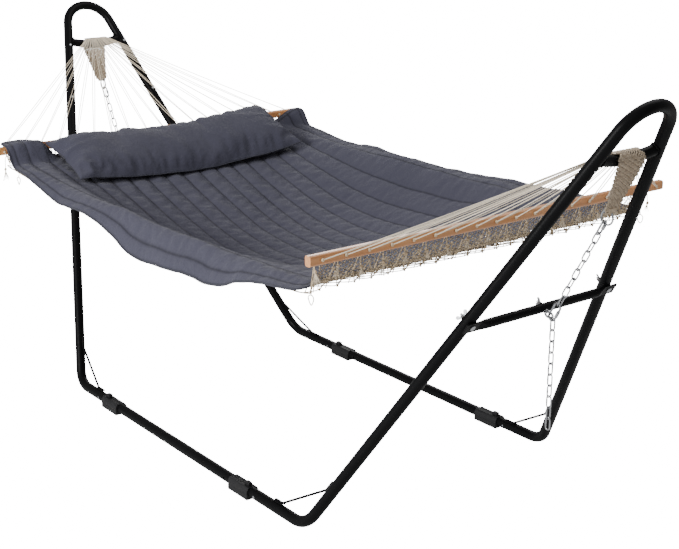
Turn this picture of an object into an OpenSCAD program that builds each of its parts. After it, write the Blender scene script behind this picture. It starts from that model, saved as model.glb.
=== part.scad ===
// Hammock on stand: a tube stand, its rigging and a quilted rope bed.
// Millimetres, +Z up. +X runs lengthwise to the near end, -Y is the left side.
// The origin is on the ground, at the centre of the stand's footprint.

/* [Stand] */
// Outer diameter of the stand's tubes
tube_d = 36; // [32:1:40]
// Wall of the stand's tubes
tube_wall = 1.5; // [1.2:0.1:2]
// Centre of the stand to the corner where a base tube and a leg meet
base_half = 730; // [680:5:780]
// Distance between the two base tubes
base_width = 1020; // [980:5:1060]
// Height of the base tubes' centre lines
base_z = 23; // [21:1:26]
// Lean of the end frames away from the middle, in degrees
lean_out = 31; // [28:0.5:34]
// Lean of each leg towards the middle of its end frame, in degrees
lean_in = 15.5; // [14:0.5:17]
// Bend radius of the lower corners
bend_r = 95; // [80:5:110]
// Bend radius of the top hoops
hoop_r = 100; // [90:5:110]
// Length along a leg from the corner to its lower tube joint
low_joint = 520; // [480:10:560]
// Length along a leg from the corner to its upper tube joint
high_joint = 1386; // [1340:2:1390]
// Height of the saddle along the end frame
saddle_at = 1408; // [1400:2:1416]
// Dip of the saddle at its middle
saddle_dip = 20; // [10:1:26]
// Diameter of the saddle
saddle_d = 32; // [26:1:34]
// Length along a leg from the corner to the crossbar bolt
crossbar_at = 878; // [840:2:900]
// Diameter of the crossbar
crossbar_d = 27; // [22:1:30]

/* [Rigging] */
// Wire diameter of the small chain links
chain_wire = 4.5; // [4:0.5:5]
// Inner length of the small chain links
chain_pitch = 34; // [30:1:36]
// Number of small links between the hook link and the quick link
loaded_links = 8; // [6:1:8]
// Number of small links in the free end of the chain
tail_links = 10; // [6:1:10]
// Diameter of the clew ropes
rope_d = 4; // [3:0.5:4.5]
// Number of clew ropes at each end
rope_count = 18; // [14:1:18]

/* [Bed] */
// Length of the spreader bars
bar_len = 1400; // [1390:5:1420]
// Height of a spreader bar's section
bar_h = 30; // [26:1:34]
// Depth of a spreader bar's section
bar_t = 24; // [20:1:28]
// Distance between neighbouring rope holes
hole_pitch = 78; // [70:1:78]
// Place of the near spreader bar along the stand
near_bar_x = 1010; // [980:5:1020]
// Height of the near spreader bar
near_bar_z = 962; // [930:2:970]
// Place of the far spreader bar along the stand
far_bar_x = -952; // [-980:2:-930]
// Height of the far spreader bar
far_bar_z = 918; // [900:2:960]
// Thickness of the quilted pad
pad_t = 24; // [18:1:30]
// Thickness of the pillow
pillow_t = 84; // [60:2:90]

/* [Hidden] */
$fn = 48;

gap = 0.3;                  // clearance between pieces that fit or touch
tube_r = tube_d / 2;
stub_r = tube_r - tube_wall - gap;
stub_len = 75;              // how far a swaged end reaches into the next tube
bolt_d = 8;
bend_thin = 0.05;           // a bent stretch is this much thinner in radius
bend_lap = 1;               // a straight stretch runs this far into a bend

// The base joints sit nearer the middle on one diagonal than on the other.
joint_short = 455;
joint_long = 535;
clip_len = 110;
clip_inset = 10;
clip_wall = 5;
spare_hole_x = 302;

// Leg direction, seen in the bend's own plane.
bend_turn = acos(cos(lean_in) * sin(lean_out));
bend_roll = atan2(sin(lean_in), cos(lean_in) * cos(lean_out));
bend_run = bend_r * tan(bend_turn / 2);

// The hoop: where the straight legs end and where its centre is, in the end frame.
leg_len = (base_width / 2 - hoop_r * cos(lean_in)) / sin(lean_in);
hoop_v = leg_len * cos(lean_in) - hoop_r * sin(lean_in);

// The crossbar lies on the outer side of the legs.
crossbar_v = crossbar_at * cos(lean_in);
crossbar_u = base_width / 2 - crossbar_at * sin(lean_in);
plate_t = 5;
crossbar_n = tube_r + gap + plate_t / 2;

// The eye bolt, and the points of the rigging in the lengthwise middle plane.
eye_r = 11;
eye_wire = 7;
eye_n = crossbar_n + crossbar_d / 2 + eye_r + 4;
hook_r = 11.5;
hook_wire = 7;
hook_span = 37.5;             // between the centres of the hook link's two round ends
link_wire = 6;
link_r = 9;
link_span = 28;
ring_r = 20;
ring_wire = 6;
link_half = (chain_pitch + chain_wire) / 2;
small_r = 8;                // centre-line radius of a small link's ends
link_step = chain_pitch - gap;

function frame_x(n, v) = base_half + v * sin(lean_out) + n * cos(lean_out);
function frame_z(n, v) = base_z + v * cos(lean_out) - n * sin(lean_out);
eye_tip = [frame_x(eye_n + eye_r, crossbar_v), frame_z(eye_n + eye_r, crossbar_v)];
chain_tilt = 28.6;          // of the loaded chain from upright, outwards
chain_dir = [sin(chain_tilt), cos(chain_tilt)];
hook_low = eye_tip + (hook_r - hook_wire / 2 - eye_wire / 2 - gap) * chain_dir;
// The free chain's first link sits in the hook link's end, beside the eye's wire.
tail_side = 48;
tail_top = hook_low
    + (hook_r - hook_wire / 2 - chain_wire / 2 - gap) * [sin(tail_side), -cos(tail_side)];
hook_high = hook_low + hook_span * chain_dir;
first_link = hook_high + (hook_r - hook_wire / 2 - chain_wire / 2 - gap + link_half) * chain_dir;
last_link = first_link + (loaded_links - 1) * link_step * chain_dir;
quick_half = link_span / 2 + link_r;
quick_mid = last_link
    + (link_half - chain_wire / 2 - link_wire / 2 - gap + quick_half) * chain_dir;
ring_mid = quick_mid + (quick_half - link_wire / 2 - ring_wire / 2 - gap + ring_r) * chain_dir;
saddle_mid = [frame_x(0, saddle_at - saddle_dip), frame_z(0, saddle_at - saddle_dip)];

// The saddle's arc in the end frame.
saddle_u = base_width / 2 - saddle_at * tan(lean_in);
saddle_r = (saddle_u * saddle_u + saddle_dip * saddle_dip) / (2 * saddle_dip);
saddle_half_angle = asin(saddle_u / saddle_r);

throat_t = 9;
throat_top_w = 96;
throat_low_w = 34;
rope_spread = 94;           // across all the clew ropes at the saddle
rope_stop = 62;             // from the saddle's middle back to the ropes' ends

// The bed: 0 at the far bar and 1 at the near bar.
edge_sag = 38;              // of the pad's side seams at mid length
middle_sag = 212;           // of its middle line below the side seams
trough = 3.2;               // how flat the bed's cross-section is in the middle
seam_y = 600;               // from the middle line to the seam of a side border
droop_left = 65;            // of a side border's outer edge below its seam
droop_right = 15;
near_drop = 78;             // of the bed below the near bar
far_drop = 30;              // of the bed below the far bar
pad_half_w = 676;
pad_corner_r = 40;
pad_near_x = near_bar_x - 52;
pad_head_x = far_bar_x + 30;    // the pad's head edge, where it lies in front of the bar
pad_over_x = far_bar_x - 23;    // and at the corner that laps over the bar
net_t = 5;
net_half_w = 655;
pillow_half_w = 500;
pillow_half_l = 140;
pillow_x = far_bar_x + 186;
pillow_y = -22;
pillow_lift = 14;           // of its right end off the pad, which leans on the raised border

// ---------------------------------------------------------------- placing

// The near end as drawn, or turned over to the far end.
module at_end(far = false) {
    mirror([far ? 1 : 0, 0, 0]) children();
}

// The right side as drawn, or turned over to the left side.
module at_side(left = false) {
    mirror([0, left ? 1 : 0, 0]) children();
}

// The near end frame: X is its outer normal, Y is across, Z runs up the frame.
module end_frame() {
    translate([base_half, 0, base_z]) rotate([0, lean_out, 0]) children();
}

// The near right leg: Z runs up the leg from the corner.
module leg_frame() {
    translate([base_half, base_width / 2, base_z]) rotate([lean_in, lean_out, 0]) children();
}

// The plane of the near right corner's bend: the base runs to -X, the leg rises in XZ.
module bend_frame() {
    translate([base_half, base_width / 2, base_z]) rotate([bend_roll, 0, 0]) children();
}

// The middle plane at the near end: a point given as [x, z], with Z turned to the chain.
module on_chain(point) {
    translate([point[0], 0, point[1]]) rotate([0, chain_tilt, 0]) children();
}

// ---------------------------------------------------------------- shapes

module ring_section(radius, wall) {
    difference() {
        circle(radius);
        circle(radius - wall);
    }
}

module tube(length, radius = tube_r) {
    linear_extrude(length) ring_section(radius, tube_wall);
}

// A tube with a swaged stub on its upper end.
module swaged_tube(length) {
    tube(length);
    translate([0, 0, length - tube_wall]) linear_extrude(tube_wall) difference() {
        circle(tube_r);
        circle(stub_r - tube_wall);
    }
    translate([0, 0, length]) tube(stub_len, stub_r);
}

// A closed oval link, its long axis on Z and its plane XZ.
module oval_link(span, radius, wire) {
    for (side = [-1, 1])
        translate([side * radius, 0, -span / 2]) cylinder(h = span, d = wire, $fn = 24);
    for (turn = [0, 180])
        rotate([0, turn, 0]) translate([0, 0, span / 2]) rotate([90, 0, 0])
            rotate_extrude(angle = 180, $fn = 32) translate([radius, 0]) circle(d = wire, $fn = 24);
}

// An oval link with a threaded sleeve on one side.
module sleeve_link(span, radius, wire) {
    oval_link(span, radius, wire);
    translate([radius, 0, -span / 4]) cylinder(h = span / 2, d = wire * 1.7, $fn = 6);
}

// ---------------------------------------------------------------- stand

module base_tube(left = false) {
    near = left ? joint_short : joint_long;
    far = left ? joint_long : joint_short;
    color("#1b1b1d") difference() {
        translate([-far, (left ? -1 : 1) * base_width / 2, base_z]) rotate([0, 90, 0]) {
            swaged_tube(near + far);
            mirror([0, 0, 1]) translate([0, 0, -tube_wall]) {
                linear_extrude(tube_wall) ring_section(tube_r, tube_r - stub_r + tube_wall);
                translate([0, 0, tube_wall]) tube(stub_len, stub_r);
            }
        }
        translate([left ? spare_hole_x : -spare_hole_x, 0, base_z]) rotate([90, 0, 0])
            cylinder(h = 2 * base_width, d = bolt_d, center = true);
        for (x = [-far - screw_in, near + screw_in]) translate([x, 0, base_z]) rotate([90, 0, 0])
            cylinder(h = 2 * base_width, d = screw_d + 2 * gap, center = true);
    }
}

screw_d = 6;
screw_in = 22;              // from a tube joint to the screw that holds it
screw_head_d = 11;
screw_head_h = 3;
hoop_screw_in = 50;
upper_screw_at = 1199;

// The solid run of a bent lower tube, from its base joint up to a length along the leg.
// The bend is a hair thinner than the straight tube, as a bent tube is.
module corner_run(joint, top, radius, base_over = 0) {
    bend_frame() {
        translate([-(base_half - joint) - base_over, 0, 0]) rotate([0, 90, 0])
            cylinder(h = base_half - joint - bend_run + base_over + bend_lap, r = radius);
        translate([-bend_run, 0, bend_r]) rotate([90, 0, 0]) rotate([0, 0, -90])
            rotate_extrude(angle = bend_turn, $fn = 64) translate([bend_r, 0]) circle(radius - bend_thin);
        rotate([0, 90 - bend_turn, 0]) translate([0, 0, bend_run - bend_lap])
            cylinder(h = top - bend_run + bend_lap, r = radius);
    }
}

module corner_tube(joint, far = false, left = false) {
    color("#1b1b1d") at_end(far) at_side(left) difference() {
        union() {
            corner_run(joint, low_joint, tube_r);
            bend_frame() rotate([0, 90 - bend_turn, 0]) translate([0, 0, low_joint - 1])
                cylinder(h = stub_len + 1, r = stub_r);
        }
        corner_run(joint, low_joint - tube_wall, tube_r - tube_wall, 1);
        bend_frame() rotate([0, 90 - bend_turn, 0]) translate([0, 0, low_joint - 2 * tube_wall])
            cylinder(h = stub_len + 3 * tube_wall, r = stub_r - tube_wall);
        translate([joint + screw_in, 0, base_z]) rotate([90, 0, 0])
            cylinder(h = 2 * base_width, d = screw_d + 2 * gap, center = true);
    }
}

module upright(far = false, left = false) {
    color("#1b1b1d") at_end(far) at_side(left) leg_frame() difference() {
        translate([0, 0, low_joint + gap]) swaged_tube(high_joint - low_joint - gap);
        translate([0, 0, crossbar_at]) rotate([0, 90, 0])
            cylinder(h = 2 * tube_d, d = bolt_d + 2 * gap, center = true);
        for (z = [upper_screw_at, high_joint + hoop_screw_in]) translate([0, 0, z]) rotate([0, 90, 0])
            cylinder(h = 2 * tube_d, d = screw_d + 2 * gap, center = true);
    }
}

// The solid run of a hoop: its arc and its two straight legs.
module hoop_run(radius, over = 0) {
    end_frame() translate([0, 0, hoop_v]) rotate([90, 0, 90]) rotate([0, 0, lean_in])
        rotate_extrude(angle = 180 - 2 * lean_in, $fn = 96) translate([hoop_r, 0])
            circle(radius - bend_thin);
    for (left = [false, true]) at_side(left) leg_frame()
        translate([0, 0, high_joint + gap - over])
            cylinder(h = leg_len - high_joint - gap + over + bend_lap, r = radius);
}

module hoop(far = false) {
    color("#1b1b1d") at_end(far) difference() {
        hoop_run(tube_r);
        hoop_run(tube_r - tube_wall, 1);
        for (left = [false, true]) at_side(left) leg_frame()
            translate([0, 0, high_joint + hoop_screw_in]) rotate([0, 90, 0])
                cylinder(h = 2 * tube_d, d = screw_d + 2 * gap, center = true);
    }
}

// The saddle's arc in the end frame, with an allowance all round.
module saddle_arc(allowance = 0) {
    end_frame() translate([0, 0, saddle_at - saddle_dip + saddle_r]) rotate([90, 0, 90])
        rotate([0, 0, -90 - saddle_half_angle])
            rotate_extrude(angle = 2 * saddle_half_angle, $fn = 160) translate([saddle_r, 0])
                circle(d = saddle_d + 2 * allowance);
}

module saddle(far = false) {
    color("#161617") at_end(far) difference() {
        saddle_arc();
        saddle_arc(-tube_wall);
        for (left = [false, true]) at_side(left) leg_frame()
            translate([0, 0, high_joint]) cylinder(h = leg_len - high_joint, r = tube_r + gap / 3);
    }
}

brace_d = 8;
brace_base = 130;           // from the corner to the rod's foot on the base tube
brace_leg = 142;            // from the corner to the rod's foot on the leg
brace_foot = 36;
brace_n = tube_r + brace_d / 2 + 0.7;

// A round bar between two points of the bend's plane, each [x, z].
module plane_bar(from, to, diameter) {
    span = to - from;
    translate([from[0], 0, from[1]]) rotate([0, atan2(span[0], span[1]), 0])
        cylinder(h = norm(span), d = diameter, $fn = 24);
}

module brace_rod(far = false, left = false) {
    along = [cos(bend_turn), sin(bend_turn)];
    inwards = [-sin(bend_turn), cos(bend_turn)];
    base_end = [-brace_base, brace_n];
    leg_end = brace_leg * along + brace_n * inwards;
    color("#1b1b1d") at_end(far) at_side(left) bend_frame() {
        plane_bar(base_end - [brace_foot, 0], base_end, brace_d);
        plane_bar(base_end, leg_end, brace_d);
        plane_bar(leg_end, leg_end + brace_foot * along, brace_d);
        for (p = [base_end, leg_end]) translate([p[0], 0, p[1]]) sphere(d = brace_d + 1, $fn = 24);
    }
}

// A plastic clip that holds the base tube just inside its joint and rests on the ground.
module foot_clip(joint, far = false, left = false) {
    outer = tube_r + clip_wall;
    color("#111112") at_end(far) at_side(left)
        translate([joint - clip_inset - clip_len, base_width / 2, base_z]) difference() {
            union() {
                rotate([0, 90, 0]) intersection() {
                    cylinder(h = clip_len, r = outer);
                    translate([-base_z + clip_wall, -outer, 0]) cube([base_z * 2, 2 * outer, clip_len]);
                }
                translate([0, -outer, -base_z]) cube([clip_len, 2 * outer, base_z - clip_wall]);
                translate([clip_len - 34, -7, tube_r]) cube([22, 14, clip_wall + 6]);
            }
            translate([-1, 0, 0]) rotate([0, 90, 0]) cylinder(h = clip_len + 2, r = tube_r + gap / 2);
            translate([clip_len / 2, 0, -base_z]) cube([clip_len - 30, tube_r, 2 * clip_wall], center = true);
        }
}

plate_len = 52;
flare_len = 26;

module crossbar(far = false) {
    flat_from = crossbar_u - plate_len / 2;
    tube_half = flat_from - flare_len;
    color("#1b1b1d") at_end(far) end_frame() translate([crossbar_n, 0, crossbar_v]) difference() {
        union() {
            rotate([90, 0, 0]) cylinder(h = 2 * tube_half, d = crossbar_d, center = true);
            for (side = [-1, 1]) {
                hull() {
                    translate([0, side * tube_half, 0]) rotate([90, 0, 0])
                        cylinder(h = 1, d = crossbar_d, center = true, $fn = 32);
                    translate([0, side * flat_from, 0]) cube([plate_t, 1, crossbar_d + 8], center = true);
                }
                translate([0, side * crossbar_u, 0])
                    cube([plate_t, plate_len, crossbar_d + 8], center = true);
            }
        }
        rotate([90, 0, 0]) cylinder(h = 2 * tube_half - 2, d = crossbar_d - 2 * tube_wall, center = true);
        for (side = [-1, 1]) translate([0, side * crossbar_u, 0]) rotate([0, 90, 0])
            cylinder(h = 4 * plate_t, d = bolt_d + 2 * gap, center = true);
        rotate([0, 90, 0]) cylinder(h = 2 * crossbar_d, d = bolt_d + 2 * gap, center = true);
    }
}

// A bolt along the frame's normal, its domed head on the outer side at n = from.
module dome_bolt(from, to, diameter, head_d, head_h) {
    translate([to, 0, 0]) rotate([0, 90, 0]) cylinder(h = from - to + 1, d = diameter);
    translate([from, 0, 0]) rotate([0, 90, 0]) rotate_extrude() intersection() {
        translate([0, head_h - head_d]) circle(head_d);
        square([head_d / 2, head_h]);
    }
}

nut_h = 8;

// A wing nut whose face is at n = from, on the inner side.
module wing_nut(from) {
    translate([from - nut_h, 0, 0]) rotate([0, 90, 0]) difference() {
        union() {
            cylinder(h = nut_h, d1 = 12, d2 = 15);
            for (side = [-1, 1]) hull() {
                translate([side * 6, 0, nut_h / 2]) cube([3, 3, 5], center = true);
                translate([side * 14, 0, -3]) rotate([90, 0, 0])
                    cylinder(h = 3, d = 11, center = true, $fn = 24);
            }
        }
        translate([0, 0, -1]) cylinder(h = nut_h + 2, d = bolt_d + gap);
    }
}

module crossbar_bolts(far = false) {
    color("silver") at_end(far) end_frame() for (side = [-1, 1])
        translate([0, side * crossbar_u, crossbar_v])
            dome_bolt(crossbar_n + plate_t / 2 + gap, -tube_r - nut_h - 6, bolt_d, 18, 4.5);
}

module wing_nuts(far = false) {
    color("silver") at_end(far) end_frame() {
        for (side = [-1, 1]) translate([0, side * crossbar_u, crossbar_v])
            rotate([side * 35, 0, 0]) wing_nut(-tube_r - gap);
        translate([0, 0, crossbar_v]) rotate([20, 0, 0]) wing_nut(crossbar_n - crossbar_d / 2 - gap);
    }
}

module eye_bolt(far = false) {
    inner = crossbar_n - crossbar_d / 2 - nut_h - 6;
    color("silver") at_end(far) end_frame() translate([0, 0, crossbar_v]) {
        translate([inner, 0, 0]) rotate([0, 90, 0]) cylinder(h = eye_n - eye_r - inner, d = bolt_d);
        translate([crossbar_n + crossbar_d / 2 + gap, 0, 0]) rotate([0, 90, 0])
            cylinder(h = 2, d = 16);
        translate([eye_n, 0, 0]) rotate_extrude() translate([eye_r, 0]) circle(d = eye_wire, $fn = 24);
    }
}

module tube_screws() {
    color("silver") for (far = [false, true], left = [false, true]) at_end(far) at_side(left) {
        joint = far == left ? joint_long : joint_short;
        translate([joint + screw_in, base_width / 2, base_z]) rotate([0, 0, 90])
            dome_bolt(tube_r + gap / 2, -tube_r - 2, screw_d, screw_head_d, screw_head_h);
        leg_frame() for (z = [upper_screw_at, high_joint + hoop_screw_in])
            translate([0, 0, z]) rotate([0, 0, 180])
                dome_bolt(tube_r + gap / 2, -tube_r - 2, screw_d, screw_head_d, screw_head_h);
    }
}

// ---------------------------------------------------------------- rigging

module hook_link(far = false) {
    color("silver") at_end(far) on_chain((hook_low + hook_high) / 2)
        sleeve_link(hook_span, hook_r, hook_wire);
}

module loaded_chain(far = false) {
    color("silver") at_end(far) for (i = [0:loaded_links - 1])
        on_chain(first_link + i * link_step * chain_dir) rotate([0, 0, i % 2 == 0 ? 90 : 0])
            oval_link(chain_pitch + chain_wire - 2 * small_r, small_r, chain_wire);
}

module quick_link(far = false) {
    color("silver") at_end(far) on_chain(quick_mid)
        rotate([0, 0, loaded_links % 2 == 0 ? 90 : 0]) sleeve_link(link_span, link_r, link_wire);
}

module ring(far = false) {
    color("silver") at_end(far) on_chain(ring_mid)
        rotate([0, 0, loaded_links % 2 == 0 ? 0 : 90]) rotate([90, 0, 0])
            rotate_extrude() translate([ring_r, 0]) circle(d = ring_wire, $fn = 24);
}

// The woven throat lies over the saddle and runs down its outer side to the ring.
module throat(far = false) {
    inner = saddle_d / 2 + 3.6;     // clears the saddle where it curves up at the band's edges
    outer = inner + throat_t;
    low = ring_mid + (ring_r + ring_wire / 2 + 1) * chain_dir;
    run = saddle_mid - low;
    // The band's straight part touches the saddle on its outer side.
    reach = norm(run);
    turn = asin((inner + throat_t / 2) / reach);
    slope = atan2(run[0], run[1]) + turn;
    length = reach * cos(turn);
    color("#cdbfa5") at_end(far) intersection() {
        union() {
            translate([low[0], 0, low[1]]) rotate([0, slope, 0])
                translate([-throat_t / 2, -throat_top_w / 2, 0]) cube([throat_t, throat_top_w, length + 1]);
            translate([saddle_mid[0], 0, saddle_mid[1]]) rotate([90, 0, 0])
                rotate([0, 0, -slope]) rotate_extrude(angle = 95 + slope)
                    translate([inner, -throat_top_w / 2]) square([throat_t, throat_top_w]);
        }
        translate([0, 0, low[1]]) rotate([90, 0, 90]) linear_extrude(3 * base_half)
            polygon([
                [-throat_low_w / 2, -throat_t], [throat_low_w / 2, -throat_t],
                [throat_top_w / 2, length], [throat_top_w / 2, length + 2 * outer],
                [-throat_top_w / 2, length + 2 * outer], [-throat_top_w / 2, length]
            ]);
    }
}

// The free end of the chain hangs from the hook link's lower end.
module chain_tail(far = false) {
    color("silver") at_end(far) for (i = [0:tail_links - 1])
        translate([tail_top[0], 0, tail_top[1] - link_half - i * link_step])
            rotate([0, 0, i % 2 == 0 ? 90 : 0])
                oval_link(chain_pitch + chain_wire - 2 * small_r, small_r, chain_wire);
}

// ---------------------------------------------------------------- bed

bar_edge = 7;

module spreader_bar(x, z) {
    holes = (rope_count - 1) / 2;
    color("#c98a4b") translate([x, 0, z]) difference() {
        rotate([90, 0, 0]) linear_extrude(bar_len, center = true) {
            square([bar_t, bar_h - 2 * bar_edge], center = true);
            square([bar_t - 2 * bar_edge, bar_h], center = true);
            for (u = [-1, 1], v = [-1, 1])
                translate([u * (bar_t / 2 - bar_edge), v * (bar_h / 2 - bar_edge)]) circle(bar_edge);
        }
        for (i = [-holes:holes]) translate([0, i * hole_pitch, 0]) rotate([0, 90, 0])
            cylinder(h = 2 * bar_t, d = rope_d + 4, center = true, $fn = 24);
    }
}

// Straight ropes from the bar's holes to the saddle, end = 1 near and -1 far.
module clew_ropes(x, z, end) {
    holes = (rope_count - 1) / 2;
    color("#e4dac4") for (i = [-holes:holes]) {
        from = [x + end * bar_t / 2, i * hole_pitch, z];
        to = [
            end * saddle_mid[0],
            i * rope_spread / (rope_count - 1),
            saddle_mid[1] + saddle_d / 2 + rope_d / 2
        ];
        span = to - from;
        length = norm(span);
        translate(from) rotate([0, acos(span[2] / length), atan2(span[1], span[0])])
            translate([0, 0, rope_d]) cylinder(h = length - rope_d - rope_stop, d = rope_d, $fn = 16);
    }
}

function along_bed(x) = (x - far_bar_x) / (near_bar_x - far_bar_x);
function flat_sag(t) = 1 - pow(2 * t - 1, 4);
function round_sag(t) = pow(1 - pow(2 * t - 1, 2), 2);
function ease(v) = let (s = min(1, max(0, v))) s * s * (3 - 2 * s);

// Height of the bed's middle surface at a share t of its length and a place y across it.
function bed_z(t, y) = let (
        inside = min(1, abs(y) / seam_y),
        outside = max(0, abs(y) - seam_y) / (pad_half_w - seam_y)
    ) (far_bar_z - far_drop) * (1 - t) + (near_bar_z - near_drop) * t
    - edge_sag * flat_sag(t) - middle_sag * round_sag(t) * (1 - pow(inside, trough))
    - (y < 0 ? droop_left : droop_right) * flat_sag(t) * outside * outside;

// The pad rises at its head corners, and on the left it laps over the far bar.
function corner_share(y) = ease((abs(y) - (y < 0 ? 470 : 600)) / 65);
function head_x(y) = pad_head_x + (pad_over_x - pad_head_x) * ease((-y - 545) / 45);
function climb(x, y) = ease((far_bar_x + 110 - x) / 60) * corner_share(y);
function pad_z(x, y) = bed_z(max(0, along_bed(x)), y) * (1 - climb(x, y))
    + (far_bar_z + bar_h / 2 + pad_t / 2 + 1) * climb(x, y);

// The net drops from each bar to just under the pad.
function near_share(x) = max(0, (x - pad_near_x - 4) / (near_bar_x - bar_t / 2 - pad_near_x - 4));
function far_share(x) = max(0, (pad_head_x - 4 - x) / (pad_head_x - 4 - far_bar_x - bar_t / 2));
function net_z(x, y) = let (low = bed_z(along_bed(x), y) - pad_t / 2 - net_t / 2 - 4)
    low + (near_bar_z - 6 - low) * pow(near_share(x), 1.5)
        + (far_bar_z - bar_h / 2 - low) * pow(far_share(x), 2) * 0.5;

// A closed slab about a grid of points, its thickness upright.
module slab(mid, thickness) {
    count = len(mid);
    row = len(mid[0]);
    columns = row - 1;
    top = [for (line = mid, p = line) p + [0, 0, thickness / 2]];
    bottom = [for (p = top) p - [0, 0, thickness]];
    total = count * row;
    rim = concat(
        [for (j = [0:columns]) j],
        [for (i = [1:count - 1]) i * row + columns],
        [for (j = [1:columns]) (count - 1) * row + columns - j],
        [for (i = [1:count - 2]) (count - 1 - i) * row]
    );
    polyhedron(
        points = concat(top, bottom),
        faces = concat(
            [for (i = [0:count - 2], j = [0:columns - 1]) [i * row + j, i * row + j + 1, (i + 1) * row + j]],
            [for (i = [0:count - 2], j = [0:columns - 1])
                [i * row + j + 1, (i + 1) * row + j + 1, (i + 1) * row + j]],
            [for (i = [0:count - 2], j = [0:columns - 1])
                [total + (i + 1) * row + j, total + i * row + j + 1, total + i * row + j]],
            [for (i = [0:count - 2], j = [0:columns - 1])
                [total + (i + 1) * row + j, total + (i + 1) * row + j + 1, total + i * row + j + 1]],
            [for (k = [0:len(rim) - 1]) let (a = rim[k], b = rim[(k + 1) % len(rim)])
                [b, a, total + a]],
            [for (k = [0:len(rim) - 1]) let (a = rim[k], b = rim[(k + 1) % len(rim)])
                [b, total + a, total + b]]
        )
    );
}

pad_rows = 36;
inner_columns = 20;         // between the side seams, with two more in each border

// Places across the bed, from one edge to the other, with a line on each side seam.
function places_across(side, inner, outer) = concat(
    [for (k = [outer:-1:1]) -seam_y - (side - seam_y) * k / outer],
    [for (k = [0:inner]) seam_y * (2 * k / inner - 1)],
    [for (k = [1:outer]) seam_y + (side - seam_y) * k / outer]
);

// Half the pad's width at a distance from its head or foot edge, with rounded corners.
function pad_side(d) = pad_half_w - pad_corner_r
    + sqrt(pad_corner_r * pad_corner_r - pow(max(0, pad_corner_r - d), 2));

module quilted_pad() {
    mid = [for (i = [0:pad_rows]) let (
            t = i / pad_rows,
            side = pad_side(min(t, 1 - t) * (pad_near_x - pad_head_x))
        ) [for (y = places_across(side, inner_columns, 2))
            let (x = head_x(y) + (pad_near_x - head_x(y)) * t) [x, y, pad_z(x, y)]]];
    color("#4b4e5c") slab(mid, pad_t);
}

net_rows = 36;

module rope_net() {
    under = [for (i = [0:net_rows]) pad_head_x - 4 + (pad_near_x + 8 - pad_head_x) * i / net_rows];
    xs = concat([far_bar_x + bar_t / 2 + 2], under, [near_bar_x - bar_t / 2 - 2]);
    color("#c9b48d") slab([for (x = xs) [for (y = places_across(net_half_w, inner_columns, 1))
        [x, y, net_z(x, y)]]], net_t);
}

loop_r = 13;

// Cord loops at the net's four corners, for tying the pad.
module net_corner_loops() {
    color("#d8c8a4") for (x = [far_bar_x + 120, near_bar_x - 40], side = [-1, 1])
        translate([x, side * (net_half_w + 6), net_z(x, side * net_half_w) - loop_r - 16])
            rotate([90, 0, 0]) rotate_extrude() translate([loop_r, 0]) circle(d = rope_d, $fn = 16);
}

// The pillow lies on the pad, beside the far bar.
module pillow() {
    columns = 20;
    rings = 16;
    points = [for (j = [0:columns], k = [0:rings - 1]) let (
        s = 2 * j / columns - 1,
        a = 360 * k / rings,
        fill = pow(1 - pow(abs(s), 6), 0.5),
        x = pillow_x + pillow_half_l * (0.55 + 0.45 * fill) * cos(a),
        y = pillow_y + pillow_half_w * s,
        full = pillow_t / 2 * (1 + 0.14 * s) * (0.12 + 0.88 * fill),
        low = pad_z(x, y) + pad_t / 2 + 7 + pillow_lift * ease(s)
    ) [x, y, low + full * (1 + sin(a))]];
    color("#50535f") polyhedron(points = points, faces = concat(
        [[for (k = [0:rings - 1]) k]],
        [for (j = [0:columns - 1], k = [0:rings - 1])
            [j * rings + k, (j + 1) * rings + k, j * rings + (k + 1) % rings]],
        [for (j = [0:columns - 1], k = [0:rings - 1])
            [(j + 1) * rings + k, (j + 1) * rings + (k + 1) % rings, j * rings + (k + 1) % rings]],
        [[for (k = [rings - 1:-1:0]) columns * rings + k]]
    ));
}

tie_w = 14;
tie_t = 2;
tie_y = 390;

// Two flat straps that hold the pillow to the far bar.
module pillow_ties() {
    clear = 3;
    height = bar_h + 2 * clear + 2 * tie_t;
    depth = bar_t + 2 * clear + 2 * tie_t;
    color("#3d404b") for (side = [-1, 1]) translate([far_bar_x, side * tie_y, far_bar_z]) difference() {
        cube([depth, tie_w, height], center = true);
        cube([depth - 2 * tie_t, 2 * tie_w, height - 2 * tie_t], center = true);
    }
}

base_tube(left = true);  // base_tube_left
base_tube();  // base_tube_right
corner_tube(joint_short, left = true);  // corner_tube_near_left
corner_tube(joint_long);  // corner_tube_near_right
corner_tube(joint_long, far = true, left = true);  // corner_tube_far_left
corner_tube(joint_short, far = true);  // corner_tube_far_right
upright(left = true);  // upright_near_left
upright();  // upright_near_right
upright(far = true, left = true);  // upright_far_left
upright(far = true);  // upright_far_right
hoop();  // hoop_near
hoop(far = true);  // hoop_far
saddle();  // saddle_near
saddle(far = true);  // saddle_far
brace_rod(left = true);  // brace_rod_near_left
brace_rod();  // brace_rod_near_right
brace_rod(far = true, left = true);  // brace_rod_far_left
brace_rod(far = true);  // brace_rod_far_right
foot_clip(joint_short, left = true);  // foot_clip_near_left
foot_clip(joint_long);  // foot_clip_near_right
foot_clip(joint_long, far = true, left = true);  // foot_clip_far_left
foot_clip(joint_short, far = true);  // foot_clip_far_right
crossbar();  // crossbar_near
crossbar(far = true);  // crossbar_far
crossbar_bolts();  // crossbar_bolts_near
crossbar_bolts(far = true);  // crossbar_bolts_far
wing_nuts();  // wing_nuts_near
wing_nuts(far = true);  // wing_nuts_far
eye_bolt();  // eye_bolt_near
eye_bolt(far = true);  // eye_bolt_far
tube_screws();
hook_link();  // hook_link_near
hook_link(far = true);  // hook_link_far
loaded_chain();  // loaded_chain_near
loaded_chain(far = true);  // loaded_chain_far
quick_link();  // quick_link_near
quick_link(far = true);  // quick_link_far
ring();  // ring_near
ring(far = true);  // ring_far
throat();  // throat_near
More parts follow.
